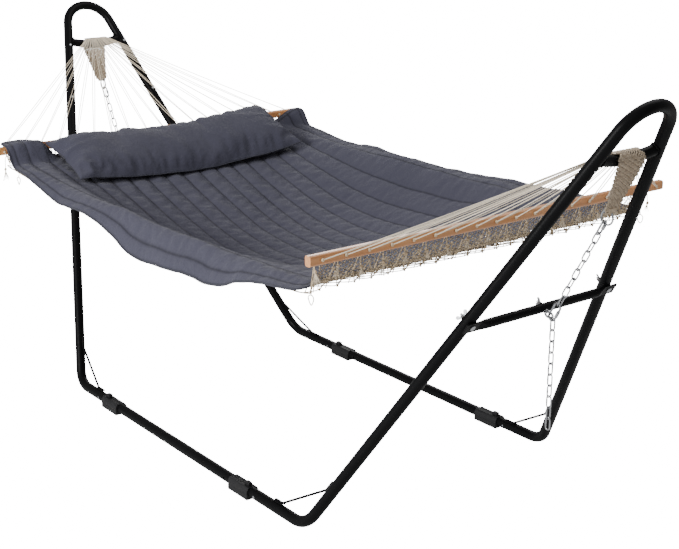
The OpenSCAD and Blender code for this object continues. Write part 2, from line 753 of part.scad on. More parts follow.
throat(far = true);  // throat_far
chain_tail();  // chain_tail_near
chain_tail(far = true);  // chain_tail_far
spreader_bar(near_bar_x, near_bar_z);  // spreader_bar_near
spreader_bar(far_bar_x, far_bar_z);  // spreader_bar_far
clew_ropes(near_bar_x, near_bar_z, 1);  // clew_ropes_near
clew_ropes(far_bar_x, far_bar_z, -1);  // clew_ropes_far
rope_net();
net_corner_loops();
quilted_pad();
pillow();
pillow_ties();
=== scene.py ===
"""Looks of the hammock on its tube stand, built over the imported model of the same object.

Every piece is in metres in the model's own frame: +X runs to the foot end, -Y is the left side
and +Z is up. Classes build one sub-assembly each, and main() puts them together in order.
"""

import logging
import math
from collections.abc import Callable
from dataclasses import dataclass
from enum import Enum

import bpy
import numpy as np
from mathutils import Matrix, Vector, noise


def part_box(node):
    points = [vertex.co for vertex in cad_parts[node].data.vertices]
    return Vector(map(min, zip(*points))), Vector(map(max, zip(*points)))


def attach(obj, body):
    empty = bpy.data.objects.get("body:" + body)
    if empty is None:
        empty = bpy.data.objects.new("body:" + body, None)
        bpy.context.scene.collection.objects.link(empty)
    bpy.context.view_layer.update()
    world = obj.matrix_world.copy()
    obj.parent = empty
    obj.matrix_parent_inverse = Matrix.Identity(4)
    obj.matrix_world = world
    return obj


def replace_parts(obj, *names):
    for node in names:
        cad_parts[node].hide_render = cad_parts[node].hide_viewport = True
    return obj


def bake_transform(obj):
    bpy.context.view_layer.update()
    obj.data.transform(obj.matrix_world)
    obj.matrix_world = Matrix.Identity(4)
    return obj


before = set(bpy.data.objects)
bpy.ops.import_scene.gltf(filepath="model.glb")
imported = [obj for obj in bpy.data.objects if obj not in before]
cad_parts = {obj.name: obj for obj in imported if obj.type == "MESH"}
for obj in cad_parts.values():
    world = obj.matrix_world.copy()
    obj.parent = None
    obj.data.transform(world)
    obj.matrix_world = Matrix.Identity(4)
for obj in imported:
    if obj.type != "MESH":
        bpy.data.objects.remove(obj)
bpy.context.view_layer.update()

LOG = logging.getLogger("hammock")
Point = tuple[float, float, float]
Colour = tuple[float, float, float]
Object = bpy.types.Object
Node = bpy.types.Node
Socket = bpy.types.NodeSocket
Tree = bpy.types.NodeTree


class End(Enum):
    """One end of the hammock: its sign along X."""

    NEAR = 1
    FAR = -1

    @property
    def word(self) -> str:
        """The end's name as it stands in node names."""
        return self.name.lower()


# ---------------------------------------------------------------- node helpers


class Graph:
    """A thin layer over a node tree that adds and links nodes.

    Args:
        tree: The node tree to fill.
    """

    def __init__(self, tree: Tree) -> None:
        self.tree = tree
        self.column = 0

    def add(self, kind: str, values: dict[str, object] | None = None, **settings: object) -> Node:
        """Add a node.

        Args:
            kind: The node's type name.
            values: Input socket names with a value, or with an output socket to link from.
            **settings: Attributes to set on the node.

        Returns:
            The new node.
        """
        node = self.tree.nodes.new(kind)
        node.location = (220 * self.column, -40 * (self.column % 5))
        self.column += 1
        for name, value in settings.items():
            setattr(node, name, value)
        for name, value in (values or {}).items():
            self.feed(node, name, value)
        return node

    def feed(self, node: Node, name: str, value: object) -> None:
        """Set or link the enabled input that has this name.

        Args:
            node: The node whose input it is.
            name: The input's name.
            value: A plain value, or the output socket to link from.
        """
        self.plug(next(s for s in node.inputs if s.name == name and s.enabled), value)

    def plug(self, socket: Socket, value: object) -> None:
        """Link an input socket to an output, or set its plain value."""
        if isinstance(value, Socket):
            self.tree.links.new(value, socket)
        else:
            socket.default_value = value

    def math(self, operation: str, a: object, b: object = 0.0) -> Socket:
        """Add a Math node.

        Args:
            operation: The operation's name.
            a: First value or output socket.
            b: Second value or output socket.

        Returns:
            The node's output socket.
        """
        node = self.add("ShaderNodeMath", operation=operation)
        for socket, value in zip(node.inputs, (a, b)):
            self.plug(socket, value)
        return node.outputs[0]

    def noise(self, vector: Socket, scale: object, detail: float, **more: float) -> Socket:
        """Add a Noise Texture node.

        Args:
            vector: Where the noise is read.
            scale: Its scale, or an output socket that gives it.
            detail: Its detail.
            **more: Other inputs by name.

        Returns:
            The node's Fac output.
        """
        values = {"Vector": vector, "Scale": scale, "Detail": detail, **more}
        return self.add("ShaderNodeTexNoise", values).outputs["Fac"]

    def mix(self, factor: object, first: object, second: object) -> Socket:
        """Add a colour Mix node.

        Args:
            factor: Share of the second colour.
            first: First colour or output socket.
            second: Second colour or output socket.

        Returns:
            The mixed colour.
        """
        node = self.add("ShaderNodeMix", {"Factor": factor}, data_type="RGBA")
        self.plug(node.inputs[6], first)
        self.plug(node.inputs[7], second)
        return node.outputs[2]


def shader_group(name: str, inputs: dict[str, object],
                 outputs: tuple[str, ...]) -> tuple[Graph, Node, Node]:
    """Start a shader node group with named inputs and outputs.

    Args:
        name: The group's name.
        inputs: Input names with their default: a float, or None for a vector.
        outputs: Output names, all floats.

    Returns:
        The graph, its group input node and its group output node.
    """
    tree = bpy.data.node_groups.new(name, "ShaderNodeTree")
    for label, default in inputs.items():
        kind = "NodeSocketVector" if default is None else "NodeSocketFloat"
        socket = tree.interface.new_socket(name=label, in_out="INPUT", socket_type=kind)
        if default is not None:
            socket.default_value = default
    for label in outputs:
        tree.interface.new_socket(name=label, in_out="OUTPUT", socket_type="NodeSocketFloat")
    graph = Graph(tree)
    return graph, graph.add("NodeGroupInput"), graph.add("NodeGroupOutput")


def mottle_group() -> Tree:
    """Soft cloudy variation at two sizes, for colour and roughness.

    Returns:
        A group with inputs Vector, Broad and Fine, and outputs Broad and Fine from 0 to 1.
    """
    graph, start, end = shader_group("Mottle", {"Vector": None, "Broad": 6.0, "Fine": 90.0},
                                     ("Broad", "Fine"))
    for label, detail in (("Broad", 3.0), ("Fine", 5.0)):
        cloud = graph.noise(start.outputs["Vector"], start.outputs[label], detail)
        spread = graph.add("ShaderNodeMapRange", {"Value": cloud, "From Min": 0.3, "From Max": 0.7})
        graph.tree.links.new(spread.outputs["Result"], end.inputs[label])
    return graph.tree


def weave_group() -> Tree:
    """Plain-weave cloth: crossing threads as a height and a thread mask.

    Returns:
        A group with inputs Vector, Threads and Slub, and outputs Height and Thread.
    """
    graph, start, end = shader_group("Weave", {"Vector": None, "Threads": 240.0, "Slub": 0.3},
                                     ("Height", "Thread"))
    bands = []
    for direction in ("X", "Y"):
        wave = graph.add("ShaderNodeTexWave",
                         {"Vector": start.outputs["Vector"], "Scale": start.outputs["Threads"],
                          "Distortion": 1.2, "Detail": 1.0, "Detail Scale": 0.4}, wave_type="BANDS",
                         bands_direction=direction)
        bands.append(wave.outputs["Fac"])
    crossed = graph.math("MAXIMUM", bands[0], bands[1])
    slub = graph.noise(start.outputs["Vector"], 420.0, 2.0)
    bumps = graph.math("MULTIPLY", slub, start.outputs["Slub"])
    graph.tree.links.new(graph.math("ADD", crossed, bumps), end.inputs["Height"])
    graph.tree.links.new(graph.math("MULTIPLY", bands[0], bands[1]), end.inputs["Thread"])
    return graph.tree


def scuff_group() -> Tree:
    """Sparse fine scuffs, as on handled coatings and plating.

    Returns:
        A group with inputs Vector, Size and Amount, and output Mask.
    """
    graph, start, end = shader_group("Scuffs", {"Vector": None, "Size": 30.0, "Amount": 0.1}, ("Mask",))
    patch = graph.noise(start.outputs["Vector"], start.outputs["Size"], 8.0, Roughness=0.75)
    both = graph.math("MULTIPLY", patch, graph.noise(start.outputs["Vector"], 260.0, 4.0))
    limit = graph.math("SUBTRACT", 0.42, graph.math("MULTIPLY", start.outputs["Amount"], 0.3))
    raised = graph.math("MULTIPLY", graph.math("SUBTRACT", both, limit), 14.0)
    low = graph.math("MAXIMUM", raised, 0.0)
    graph.tree.links.new(graph.math("MINIMUM", low, 1.0), end.inputs["Mask"])
    return graph.tree


@dataclass(frozen=True)
class Finish:
    """A surface finish whose pattern comes from nodes.

    Attributes:
        name: The material's name.
        colour: Main colour.
        second: Colour that the mottling brings in.
        roughness: Lowest and highest roughness.
        metallic: 1 for plated metal.
        sheen: Strength of the cloth sheen.
        coat: Strength of a clear coat.
        gloss: Specular level.
        bump: Depth of the surface relief in metres.
        broad: Scale of the broad mottling.
        fine: Scale of the fine mottling.
        pattern: Which relief is drawn: coat, weave, wood or cord.
        scuffs: Amount of scuffing.
        wrinkle: Depth of soft creases in metres.
        seam: How much the colour is darkened along sewn seams, as painted shade in the valleys that the
            seams pull in.
    """

    name: str
    colour: Colour
    second: Colour
    roughness: tuple[float, float] = (0.4, 0.5)
    metallic: float = 0.0
    sheen: float = 0.0
    coat: float = 0.0
    gloss: float = 0.5
    bump: float = 0.0002
    broad: float = 6.0
    fine: float = 90.0
    pattern: str = "coat"
    scuffs: float = 0.0
    wrinkle: float = 0.0
    seam: float = 0.0

    def relief(self, graph: Graph, vector: Socket, fine: Socket) -> tuple[Socket, Socket]:
        """The finish's own pattern.

        Args:
            graph: The material's graph.
            vector: Object coordinates.
            fine: The fine mottling, used where the finish has no other pattern.

        Returns:
            A height and a colour mask.
        """
        if self.pattern == "weave":
            weave = graph.add("ShaderNodeGroup", {}, node_tree=GROUPS["weave"])
            graph.feed(weave, "Vector", vector)
            return weave.outputs["Height"], weave.outputs["Thread"]
        if self.pattern == "wood":
            along = graph.add("ShaderNodeMapping", {"Vector": vector, "Scale": (38.0, 1.6, 38.0)})
            grain = graph.noise(along.outputs["Vector"], 1.6, 7.0, Distortion=0.9)
            rings = graph.add("ShaderNodeTexWave",
                              {"Vector": along.outputs["Vector"], "Scale": 0.7, "Distortion": 5.0,
                               "Detail": 3.0}, wave_type="RINGS", rings_direction="Y")
            return grain, graph.math("MULTIPLY", rings.outputs["Fac"], grain)
        if self.pattern == "cord":
            return graph.noise(vector, 1100.0, 3.0), fine
        return fine, fine

    def build(self) -> bpy.types.Material:
        """Make the material.

        Returns:
            The finished material.
        """
        material = bpy.data.materials.new(self.name)
        material.use_nodes = True
        graph = Graph(material.node_tree)
        shader = material.node_tree.nodes["Principled BSDF"]
        vector = graph.add("ShaderNodeTexCoord").outputs["Object"]
        mottle = graph.add("ShaderNodeGroup", {}, node_tree=GROUPS["mottle"])
        for label, value in (("Vector", vector), ("Broad", self.broad), ("Fine", self.fine)):
            graph.feed(mottle, label, value)
        height, mask = self.relief(graph, vector, mottle.outputs["Fine"])
        share = graph.math("ADD", graph.math("MULTIPLY", mottle.outputs["Broad"], 0.45),
                           graph.math("MULTIPLY", mask, 0.55))
        colour = graph.mix(share, (*self.colour, 1.0), (*self.second, 1.0))
        rough_share = mottle.outputs["Fine"]
        if self.scuffs:
            scuff = graph.add("ShaderNodeGroup", {}, node_tree=GROUPS["scuffs"])
            graph.feed(scuff, "Vector", vector)
            graph.feed(scuff, "Amount", self.scuffs)
            worn = (*[min(1.0, 2.4 * c + 0.03) for c in self.colour], 1.0)
            colour = graph.mix(graph.math("MULTIPLY", scuff.outputs["Mask"], 0.5), colour, worn)
            rough_share = graph.math("MAXIMUM", rough_share, scuff.outputs["Mask"])
        # Painted shade: along the sewn seams the colour is darkened towards a quarter of itself, in place
        # of the shade in the seams' valleys.
        if self.seam:
            sewn = graph.add("ShaderNodeAttribute", attribute_name="seam")
            line = graph.math("MULTIPLY", graph.math("POWER", sewn.outputs["Fac"], 3.0), self.seam)
            colour = graph.mix(line, colour, (*[0.25 * c for c in self.colour], 1.0))
        graph.feed(shader, "Base Color", colour)
        span = graph.math("MULTIPLY", rough_share, self.roughness[1] - self.roughness[0])
        graph.feed(shader, "Roughness", graph.math("ADD", span, self.roughness[0]))
        for label, value in (("Metallic", self.metallic), ("Sheen Weight", self.sheen),
                             ("Coat Weight", self.coat), ("Coat Roughness", 0.12),
                             ("Specular IOR Level", self.gloss)):
            shader.inputs[label].default_value = value
        bump = graph.add("ShaderNodeBump", {"Height": height, "Distance": self.bump, "Strength": 1.0})
        if self.wrinkle:
            crease = graph.noise(vector, 17.0, 5.0, Distortion=1.4, Roughness=0.55)
            folds = graph.add("ShaderNodeBump",
                              {"Height": crease, "Distance": self.wrinkle, "Strength": 1.0})
            graph.feed(bump, "Normal", folds.outputs["Normal"])
        graph.feed(shader, "Normal", bump.outputs["Normal"])
        return material


GROUPS: dict[str, Tree] = {}
FINISHES: dict[str, Finish] = {
    "powder": Finish("powder_coat", (0.0034, 0.0034, 0.0038), (0.0056, 0.0056, 0.0061), (0.30, 0.42),
                     bump=0.00012, broad=4.0, fine=700.0, gloss=0.06, scuffs=0.10),
    "plastic": Finish("moulded_plastic", (0.006, 0.006, 0.0068), (0.010, 0.010, 0.011), (0.50, 0.66),
                      gloss=0.3, bump=0.0002, fine=500.0, scuffs=0.25),
    "zinc": Finish("zinc_plate", (0.44, 0.45, 0.46), (0.30, 0.31, 0.33), (0.20, 0.38),
                   metallic=1.0, bump=0.00006, broad=30.0, fine=260.0, scuffs=0.3),
    "wood": Finish("varnished_wood", (0.70, 0.33, 0.125), (0.46, 0.175, 0.055), (0.30, 0.42),
                   coat=0.35, bump=0.00025, pattern="wood"),
    "cotton": Finish("cotton_cord", (0.90, 0.80, 0.65), (0.76, 0.65, 0.49), (0.82, 0.95),
                     sheen=0.25, gloss=0.2, bump=0.0006, broad=9.0, fine=120.0, pattern="cord"),
    "braid": Finish("braided_cord", (0.66, 0.55, 0.42), (0.46, 0.36, 0.25), (0.82, 0.95),
                    sheen=0.2, gloss=0.2, bump=0.0008, broad=14.0, fine=120.0, pattern="cord"),
    "net": Finish("net_cord", (0.66, 0.53, 0.36), (0.47, 0.36, 0.23), (0.85, 0.95),
                  sheen=0.2, gloss=0.2, bump=0.0006, broad=9.0, fine=120.0, pattern="cord"),
    # The quilt's seam setting paints shade into its colour along the sewn seams.
    "quilt": Finish("quilt_cloth", (0.049, 0.0485, 0.070), (0.062, 0.0612, 0.085), (0.80, 0.92),
                    sheen=0.10, gloss=0.12, bump=0.00018, broad=5.0, fine=60.0, pattern="weave",
                    wrinkle=0.005, seam=0.75),
    "pillow": Finish("pillow_cloth", (0.044, 0.0435, 0.064), (0.056, 0.0553, 0.078), (0.78, 0.9),
                     sheen=0.10, gloss=0.12, bump=0.00018, broad=7.0, fine=60.0, pattern="weave",
                     wrinkle=0.004),
    "binding": Finish("edge_binding", (0.036, 0.036, 0.049), (0.046, 0.046, 0.062), (0.8, 0.9),
                      sheen=0.10, gloss=0.12, bump=0.0003, fine=200.0, pattern="weave"),
    "thread": Finish("seam_thread", (0.030, 0.030, 0.042), (0.045, 0.045, 0.060), (0.6, 0.75),
                     gloss=0.2, bump=0.0001, fine=800.0),
}
MATERIALS: dict[str, bpy.types.Material] = {}


def dress(obj: Object, finish: str) -> None:
    """Give an object one finish in every slot.

    Args:
        obj: The object.
        finish: A key of FINISHES.
    """
    if not obj.material_slots:
        obj.data.materials.append(MATERIALS[finish])
    for slot in obj.material_slots:
        slot.material = MATERIALS[finish]


# ---------------------------------------------------------------- mesh helpers


def mesh_object(name: str, points: np.ndarray, faces: list[tuple[int, ...]], finish: str,
                edges: list[tuple[int, int]] | None = None) -> Object:
    """Make an object at the origin from points and faces.

    Args:
        name: The piece's name.
        points: One row of three numbers for each vertex.
        faces: Vertex numbers of each face, counter-clockwise from outside.
        finish: A key of FINISHES.
        edges: Loose edges, for a path.

    Returns:
        The new object, smooth shaded.
    """
    mesh = bpy.data.meshes.new(name)
    mesh.from_pydata([tuple(map(float, p)) for p in points], edges or [], faces)
    mesh.polygons.foreach_set("use_smooth", [True] * len(mesh.polygons))
    mesh.update()
    obj = bpy.data.objects.new(name, mesh)
    bpy.context.scene.collection.objects.link(obj)
    dress(obj, finish)
    return obj


def baked(obj: Object, name: str) -> Object:
    """Turn an object with live modifiers into a plain one and remove the first.

    Args:
        obj: The object to evaluate.
        name: The plain object's name.

    Returns:
        The plain object.
    """
    bpy.context.view_layer.update()
    shape = obj.evaluated_get(bpy.context.evaluated_depsgraph_get())
    mesh = bpy.data.meshes.new_from_object(shape)
    bpy.data.objects.remove(obj, do_unlink=True)
    mesh.name = name
    mesh.polygons.foreach_set("use_smooth", [True] * len(mesh.polygons))
    plain = bpy.data.objects.new(name, mesh)
    bpy.context.scene.collection.objects.link(plain)
    return plain


def geometry_tree(name: str, inputs: dict[str, tuple[str, object]]) -> tuple[Graph, Node, Node]:
    """Start a geometry tree with named inputs.

    Args:
        name: The tree's name.
        inputs: Input names with their socket type and default.

    Returns:
        The graph, its group input node and its group output node.
    """
    tree = bpy.data.node_groups.new(name, "GeometryNodeTree")
    tree.interface.new_socket(name="Geometry", in_out="INPUT", socket_type="NodeSocketGeometry")
    for label, (kind, default) in inputs.items():
        socket = tree.interface.new_socket(name=label, in_out="INPUT", socket_type=kind)
        if default is not None:
            socket.default_value = default
    tree.interface.new_socket(name="Geometry", in_out="OUTPUT", socket_type="NodeSocketGeometry")
    graph = Graph(tree)
    return graph, graph.add("NodeGroupInput"), graph.add("NodeGroupOutput")


def finish_tree(graph: Graph, start: Node, end: Node, result: Socket) -> Tree:
    """End a geometry tree in realized geometry with its material.

    Args:
        graph: The tree's graph.
        start: Its group input node.
        end: Its group output node.
        result: The geometry to put out.

    Returns:
        The finished tree.
    """
    real = graph.add("GeometryNodeRealizeInstances", {"Geometry": result})
    painted = graph.add("GeometryNodeSetMaterial",
                        {"Geometry": real.outputs[0], "Material": start.outputs["Finish"]})
    graph.tree.links.new(painted.outputs[0], end.inputs["Geometry"])
    return graph.tree


def cord_tree() -> Tree:
    """Laid cord along paths: lobed strands that turn along their length.

    Returns:
        A tree with inputs Radius, Lobes, Lay, Step and Finish.
    """
    graph, start, end = geometry_tree("Laid cord",
                                      {"Radius": ("NodeSocketFloat", 0.002), "Lobes": ("NodeSocketInt", 3),
                                       "Hollow": ("NodeSocketFloat", 0.72),
                                       "Lay": ("NodeSocketFloat", 0.024),
                                       "Step": ("NodeSocketFloat", 0.006),
                                       "Finish": ("NodeSocketMaterial", None)})
    line = graph.add("GeometryNodeMeshToCurve", {"Mesh": start.outputs["Geometry"]})
    even = graph.add("GeometryNodeResampleCurve",
                     {"Curve": line.outputs["Curve"], "Length": start.outputs["Step"]}, mode="LENGTH")
    along = graph.add("GeometryNodeSplineParameter")
    turn = graph.math("MULTIPLY", graph.math("DIVIDE", along.outputs["Length"], start.outputs["Lay"]),
                      2 * math.pi)
    tilted = graph.add("GeometryNodeSetCurveTilt", {"Curve": even.outputs["Curve"], "Tilt": turn})
    valley = graph.math("MULTIPLY", start.outputs["Radius"], start.outputs["Hollow"])
    star = graph.add("GeometryNodeCurveStar",
                     {"Points": start.outputs["Lobes"], "Inner Radius": valley,
                      "Outer Radius": start.outputs["Radius"]})
    tube = graph.add("GeometryNodeCurveToMesh",
                     {"Curve": tilted.outputs["Curve"], "Profile Curve": star.outputs["Curve"],
                      "Fill Caps": True})
    return finish_tree(graph, start, end, tube.outputs["Mesh"])


def scatter_tree() -> Tree:
    """A small piece set on every point, turned by the point's own turn attribute.

    Returns:
        A tree with inputs Piece, Size, Jitter, Seed and Finish.
    """
    graph, start, end = geometry_tree("Set pieces",
                                      {"Piece": ("NodeSocketObject", None),
                                       "Size": ("NodeSocketFloat", 1.0), "Jitter": ("NodeSocketFloat", 0.0),
                                       "Seed": ("NodeSocketInt", 7),
                                       "Finish": ("NodeSocketMaterial", None)})
    piece = graph.add("GeometryNodeObjectInfo", {"Object": start.outputs["Piece"]})
    turn = graph.add("GeometryNodeInputNamedAttribute", {"Name": "turn"}, data_type="FLOAT_VECTOR")
    base = graph.add("FunctionNodeEulerToRotation", {"Euler": turn.outputs["Attribute"]})
    low = graph.math("MULTIPLY", start.outputs["Jitter"], -1.0)
    wobble = graph.add("FunctionNodeRandomValue",
                       {"Seed": start.outputs["Seed"], "Min": low, "Max": start.outputs["Jitter"]},
                       data_type="FLOAT_VECTOR")
    extra = graph.add("FunctionNodeEulerToRotation", {"Euler": wobble.outputs[0]})
    both = graph.add("FunctionNodeRotateRotation",
                     {"Rotation": base.outputs[0], "Rotate By": extra.outputs[0]}, rotation_space="LOCAL")
    own = graph.add("GeometryNodeInputNamedAttribute", {"Name": "size"}, data_type="FLOAT")
    size = graph.math("MULTIPLY", own.outputs["Attribute"], start.outputs["Size"])
    placed = graph.add("GeometryNodeInstanceOnPoints",
                       {"Points": start.outputs["Geometry"], "Instance": piece.outputs["Geometry"],
                        "Rotation": both.outputs[0], "Scale": size})
    return finish_tree(graph, start, end, placed.outputs["Instances"])


TREES: dict[str, Tree] = {}


def run_tree(source: Object, tree: str, name: str, finish: str, **inputs: object) -> Object:
    """Run a geometry tree on a source object and keep its result as a plain mesh.

    Args:
        source: The object that gives the points or paths. It is removed.
        tree: A key of TREES.
        name: The result's name.
        finish: A key of FINISHES.
        **inputs: The tree's inputs by name, with _ for a space.

    Returns:
        The plain object.
    """
    modifier = source.modifiers.new("build", "NODES")
    modifier.node_group = TREES[tree]
    values = {label.replace("_", " "): value for label, value in inputs.items()}
    values["Finish"] = MATERIALS[finish]
    for socket in TREES[tree].interface.items_tree:
        if socket.in_out == "INPUT" and socket.name in values:
            modifier[socket.identifier] = values[socket.name]
    return baked(source, name)


def laid_cord(name: str, paths: list[np.ndarray], finish: str, radius: float, lay: float = 0.024,
              step: float = 0.006, lobes: int = 3, hollow: float = 0.72) -> Object:
    """Make laid cords along paths.

    Args:
        name: The piece's name.
        paths: Points of each cord's centre line.
        finish: A key of FINISHES.
        radius: The cord's radius.
        lay: Length of one turn of its strands.
        step: Length of one mesh step.
        lobes: Number of strands.
        hollow: Radius between two strands, as a share of the cord's radius.

    Returns:
        The cords as one plain mesh.
    """
    points = np.concatenate(paths)
    edges, base = [], 0
    for path in paths:
        edges += [(base + i, base + i + 1) for i in range(len(path) - 1)]
        base += len(path)
    source = mesh_object(name + "_paths", points, [], finish, edges)
    return run_tree(source, "cord", name, finish, Radius=radius, Lobes=lobes, Hollow=hollow, Lay=lay,
                    Step=step)


def set_pieces(name: str, piece: Object, places: np.ndarray, turns: np.ndarray, finish: str,
               sizes: np.ndarray | None = None, jitter: float = 0.0, seed: int = 7,
               keep: bool = False) -> Object:
    """Set one small piece on many places.

    Args:
        name: The result's name.
        piece: The small piece, built about the origin.
        places: One row of three numbers for each place.
        turns: Euler turns of each place, in radians.
        finish: A key of FINISHES.
        sizes: Size of each piece, 1 for all if left out.
        jitter: Largest random turn about each axis.
        seed: The random seed.
        keep: Whether the small piece stays for further use.

    Returns:
        All the pieces as one plain mesh.
    """
    source = mesh_object(name + "_places", places, [], finish)
    for label, kind, data in (("turn", "FLOAT_VECTOR", turns),
                              ("size", "FLOAT", np.ones(len(places)) if sizes is None else sizes)):
        attribute = source.data.attributes.new(label, kind, "POINT")
        attribute.data.foreach_set("vector" if kind == "FLOAT_VECTOR" else "value",
                                   np.asarray(data, np.float32).ravel())
    made = run_tree(source, "scatter", name, finish, Piece=piece, Size=1.0, Jitter=jitter, Seed=seed)
    if not keep:
        bpy.data.objects.remove(piece, do_unlink=True)
    return made


def coordinates(mesh: bpy.types.Mesh) -> np.ndarray:
    """Read a mesh's points, one row of three numbers for each vertex."""
    flat = np.zeros(len(mesh.vertices) * 3)
    mesh.vertices.foreach_get("co", flat)
    return flat.reshape(-1, 3)


def lengths_along(line: np.ndarray) -> np.ndarray:
    """Length of a line from its start to each of its points."""
    return np.concatenate([[0], np.cumsum(np.linalg.norm(np.diff(line, axis=0), axis=1))])


def outline(top: np.ndarray, bottom: np.ndarray) -> np.ndarray:
    """The line round the edge of two grids of points, midway between them."""
    middle = (top + bottom) / 2
    return np.concatenate([middle[:, 0], middle[-1, 1:], middle[-2::-1, -1], middle[0, -2::-1]])


def smooth(value: np.ndarray | float) -> np.ndarray:
    """Ease a share from 0 to 1, clipped at both ends."""
    s = np.clip(value, 0.0, 1.0)
    return s * s * (3 - 2 * s)


def bulge(t: np.ndarray, middle: float, width: float) -> np.ndarray:
    """A soft bulge along t, 1 high at its middle."""
    return np.exp(-(((t - middle) / width) ** 2))


def ripple(x: np.ndarray, y: np.ndarray, scale: float, seed: float) -> np.ndarray:
    """Smooth random relief from -1 to 1 over two arrays of coordinates.

    Args:
        x: First coordinates.
        y: Second coordinates.
        scale: Waves in a metre.
        seed: Shifts the pattern.

    Returns:
        An array of the same shape.
    """
    places = zip(np.ravel(x), np.ravel(y))
    flat = [noise.noise(Vector((float(a) * scale, float(b) * scale, seed))) for a, b in places]
    return np.array(flat).reshape(np.shape(x)) * 1.6


# ---------------------------------------------------------------- the bed's shape


@dataclass(frozen=True)
class BedShape:
    """Where the bars, the net and the pad lie, as the model has them."""

    far_x: float = -0.952
    far_z: float = 0.918
    near_x: float = 1.010
    near_z: float = 0.962
    bar_h: float = 0.030
    bar_t: float = 0.024
    hole_pitch: float = 0.078
    rope_count: int = 18
    edge_sag: float = 0.038
    middle_sag: float = 0.212
    trough: float = 3.2
    seam_y: float = 0.600
    half_w: float = 0.676
    corner_r: float = 0.040
    foot_x: float = 0.958
    head_x: float = -0.922
    over_x: float = -0.975
    net_half_w: float = 0.655

    def bar(self, end: End) -> tuple[float, float]:
        """Place of a bar's middle line, as x and z."""
        return (self.near_x, self.near_z) if end is End.NEAR else (self.far_x, self.far_z)

    def hole_ys(self) -> np.ndarray:
        """Places of the rope holes across a bar."""
        return (np.arange(self.rope_count) - (self.rope_count - 1) / 2) * self.hole_pitch

    def share(self, x: np.ndarray) -> np.ndarray:
        """Share of the bed's length at x: 0 at the far bar and 1 at the near bar."""
        return (x - self.far_x) / (self.near_x - self.far_x)

    def surface(self, x: np.ndarray, y: np.ndarray) -> np.ndarray:
        """Height of the bed's middle surface.

        Args:
            x: Places along the stand.
            y: Places across it.

        Returns:
            Heights.
        """
        t = np.clip(self.share(x), 0, 1)
        flat, rounded = 1 - (2 * t - 1) ** 4, (1 - (2 * t - 1) ** 2) ** 2
        inside = np.minimum(1, np.abs(y) / self.seam_y)
        outside = np.clip((np.abs(y) - self.seam_y) / (self.half_w - self.seam_y), 0, 1.3)
        # How far each border hangs: the left one droops in waves, the right one lifts twice.
        waves = 0.011 * np.cos(2 * math.pi * (t - 0.216) / 0.265)
        left = flat * (0.015 + waves) + 0.095 * bulge(t, 0.58, 0.24)
        right = flat * 0.012 - 0.020 * bulge(t, 0.27, 0.06) - 0.028 * bulge(t, 0.74, 0.20)
        level = (self.far_z - 0.030) * (1 - t) + (self.near_z - 0.078) * t
        return (level - self.edge_sag * flat - self.middle_sag * rounded * (1 - inside**self.trough)
                - np.where(y < 0, left, right) * outside**1.6)

    def corner_share(self, y: np.ndarray) -> np.ndarray:
        """How far the pad's head corner has risen at y."""
        return np.where(y < 0, smooth((-y - 0.470) / 0.065), 0.92 * smooth((y - 0.505) / 0.155))

    def head_edge(self, y: np.ndarray) -> np.ndarray:
        """Place of the pad's head edge at y: on the left it laps over the bar."""
        return self.head_x + (self.over_x - self.head_x) * smooth((-y - 0.545) / 0.045)

    def pad(self, x: np.ndarray, y: np.ndarray) -> np.ndarray:
        """Height of the pad's middle surface at x and y."""
        climb = smooth((self.far_x + 0.110 - x) / 0.060) * self.corner_share(y)
        return self.surface(x, y) * (1 - climb) + (self.far_z + self.bar_h / 2 + 0.013) * climb

    def net(self, x: np.ndarray, y: np.ndarray) -> np.ndarray:
        """Height of the net: under the pad, and up to each bar at its ends."""
        low = self.surface(x, y) - 0.0185
        near_run = self.near_x - self.bar_t / 2 - self.foot_x - 0.004
        near = np.clip((x - self.foot_x - 0.004) / near_run, 0, 1)
        far = np.clip((self.head_x - 0.004 - x) / (self.head_x - 0.004 - self.far_x - self.bar_t / 2), 0, 1)
        near_rise, far_rise = self.near_z - 0.006 - low, self.far_z - self.bar_h / 2 - low
        return low + near_rise * near**1.5 + far_rise * far**2 * 0.5


BED = BedShape()


def height(surface: Callable[[np.ndarray, np.ndarray], np.ndarray], x: float, y: float) -> float:
    """Height of one of the bed's surfaces at a single place."""
    return float(surface(np.array([x]), np.array([y]))[0])


# ---------------------------------------------------------------- stand


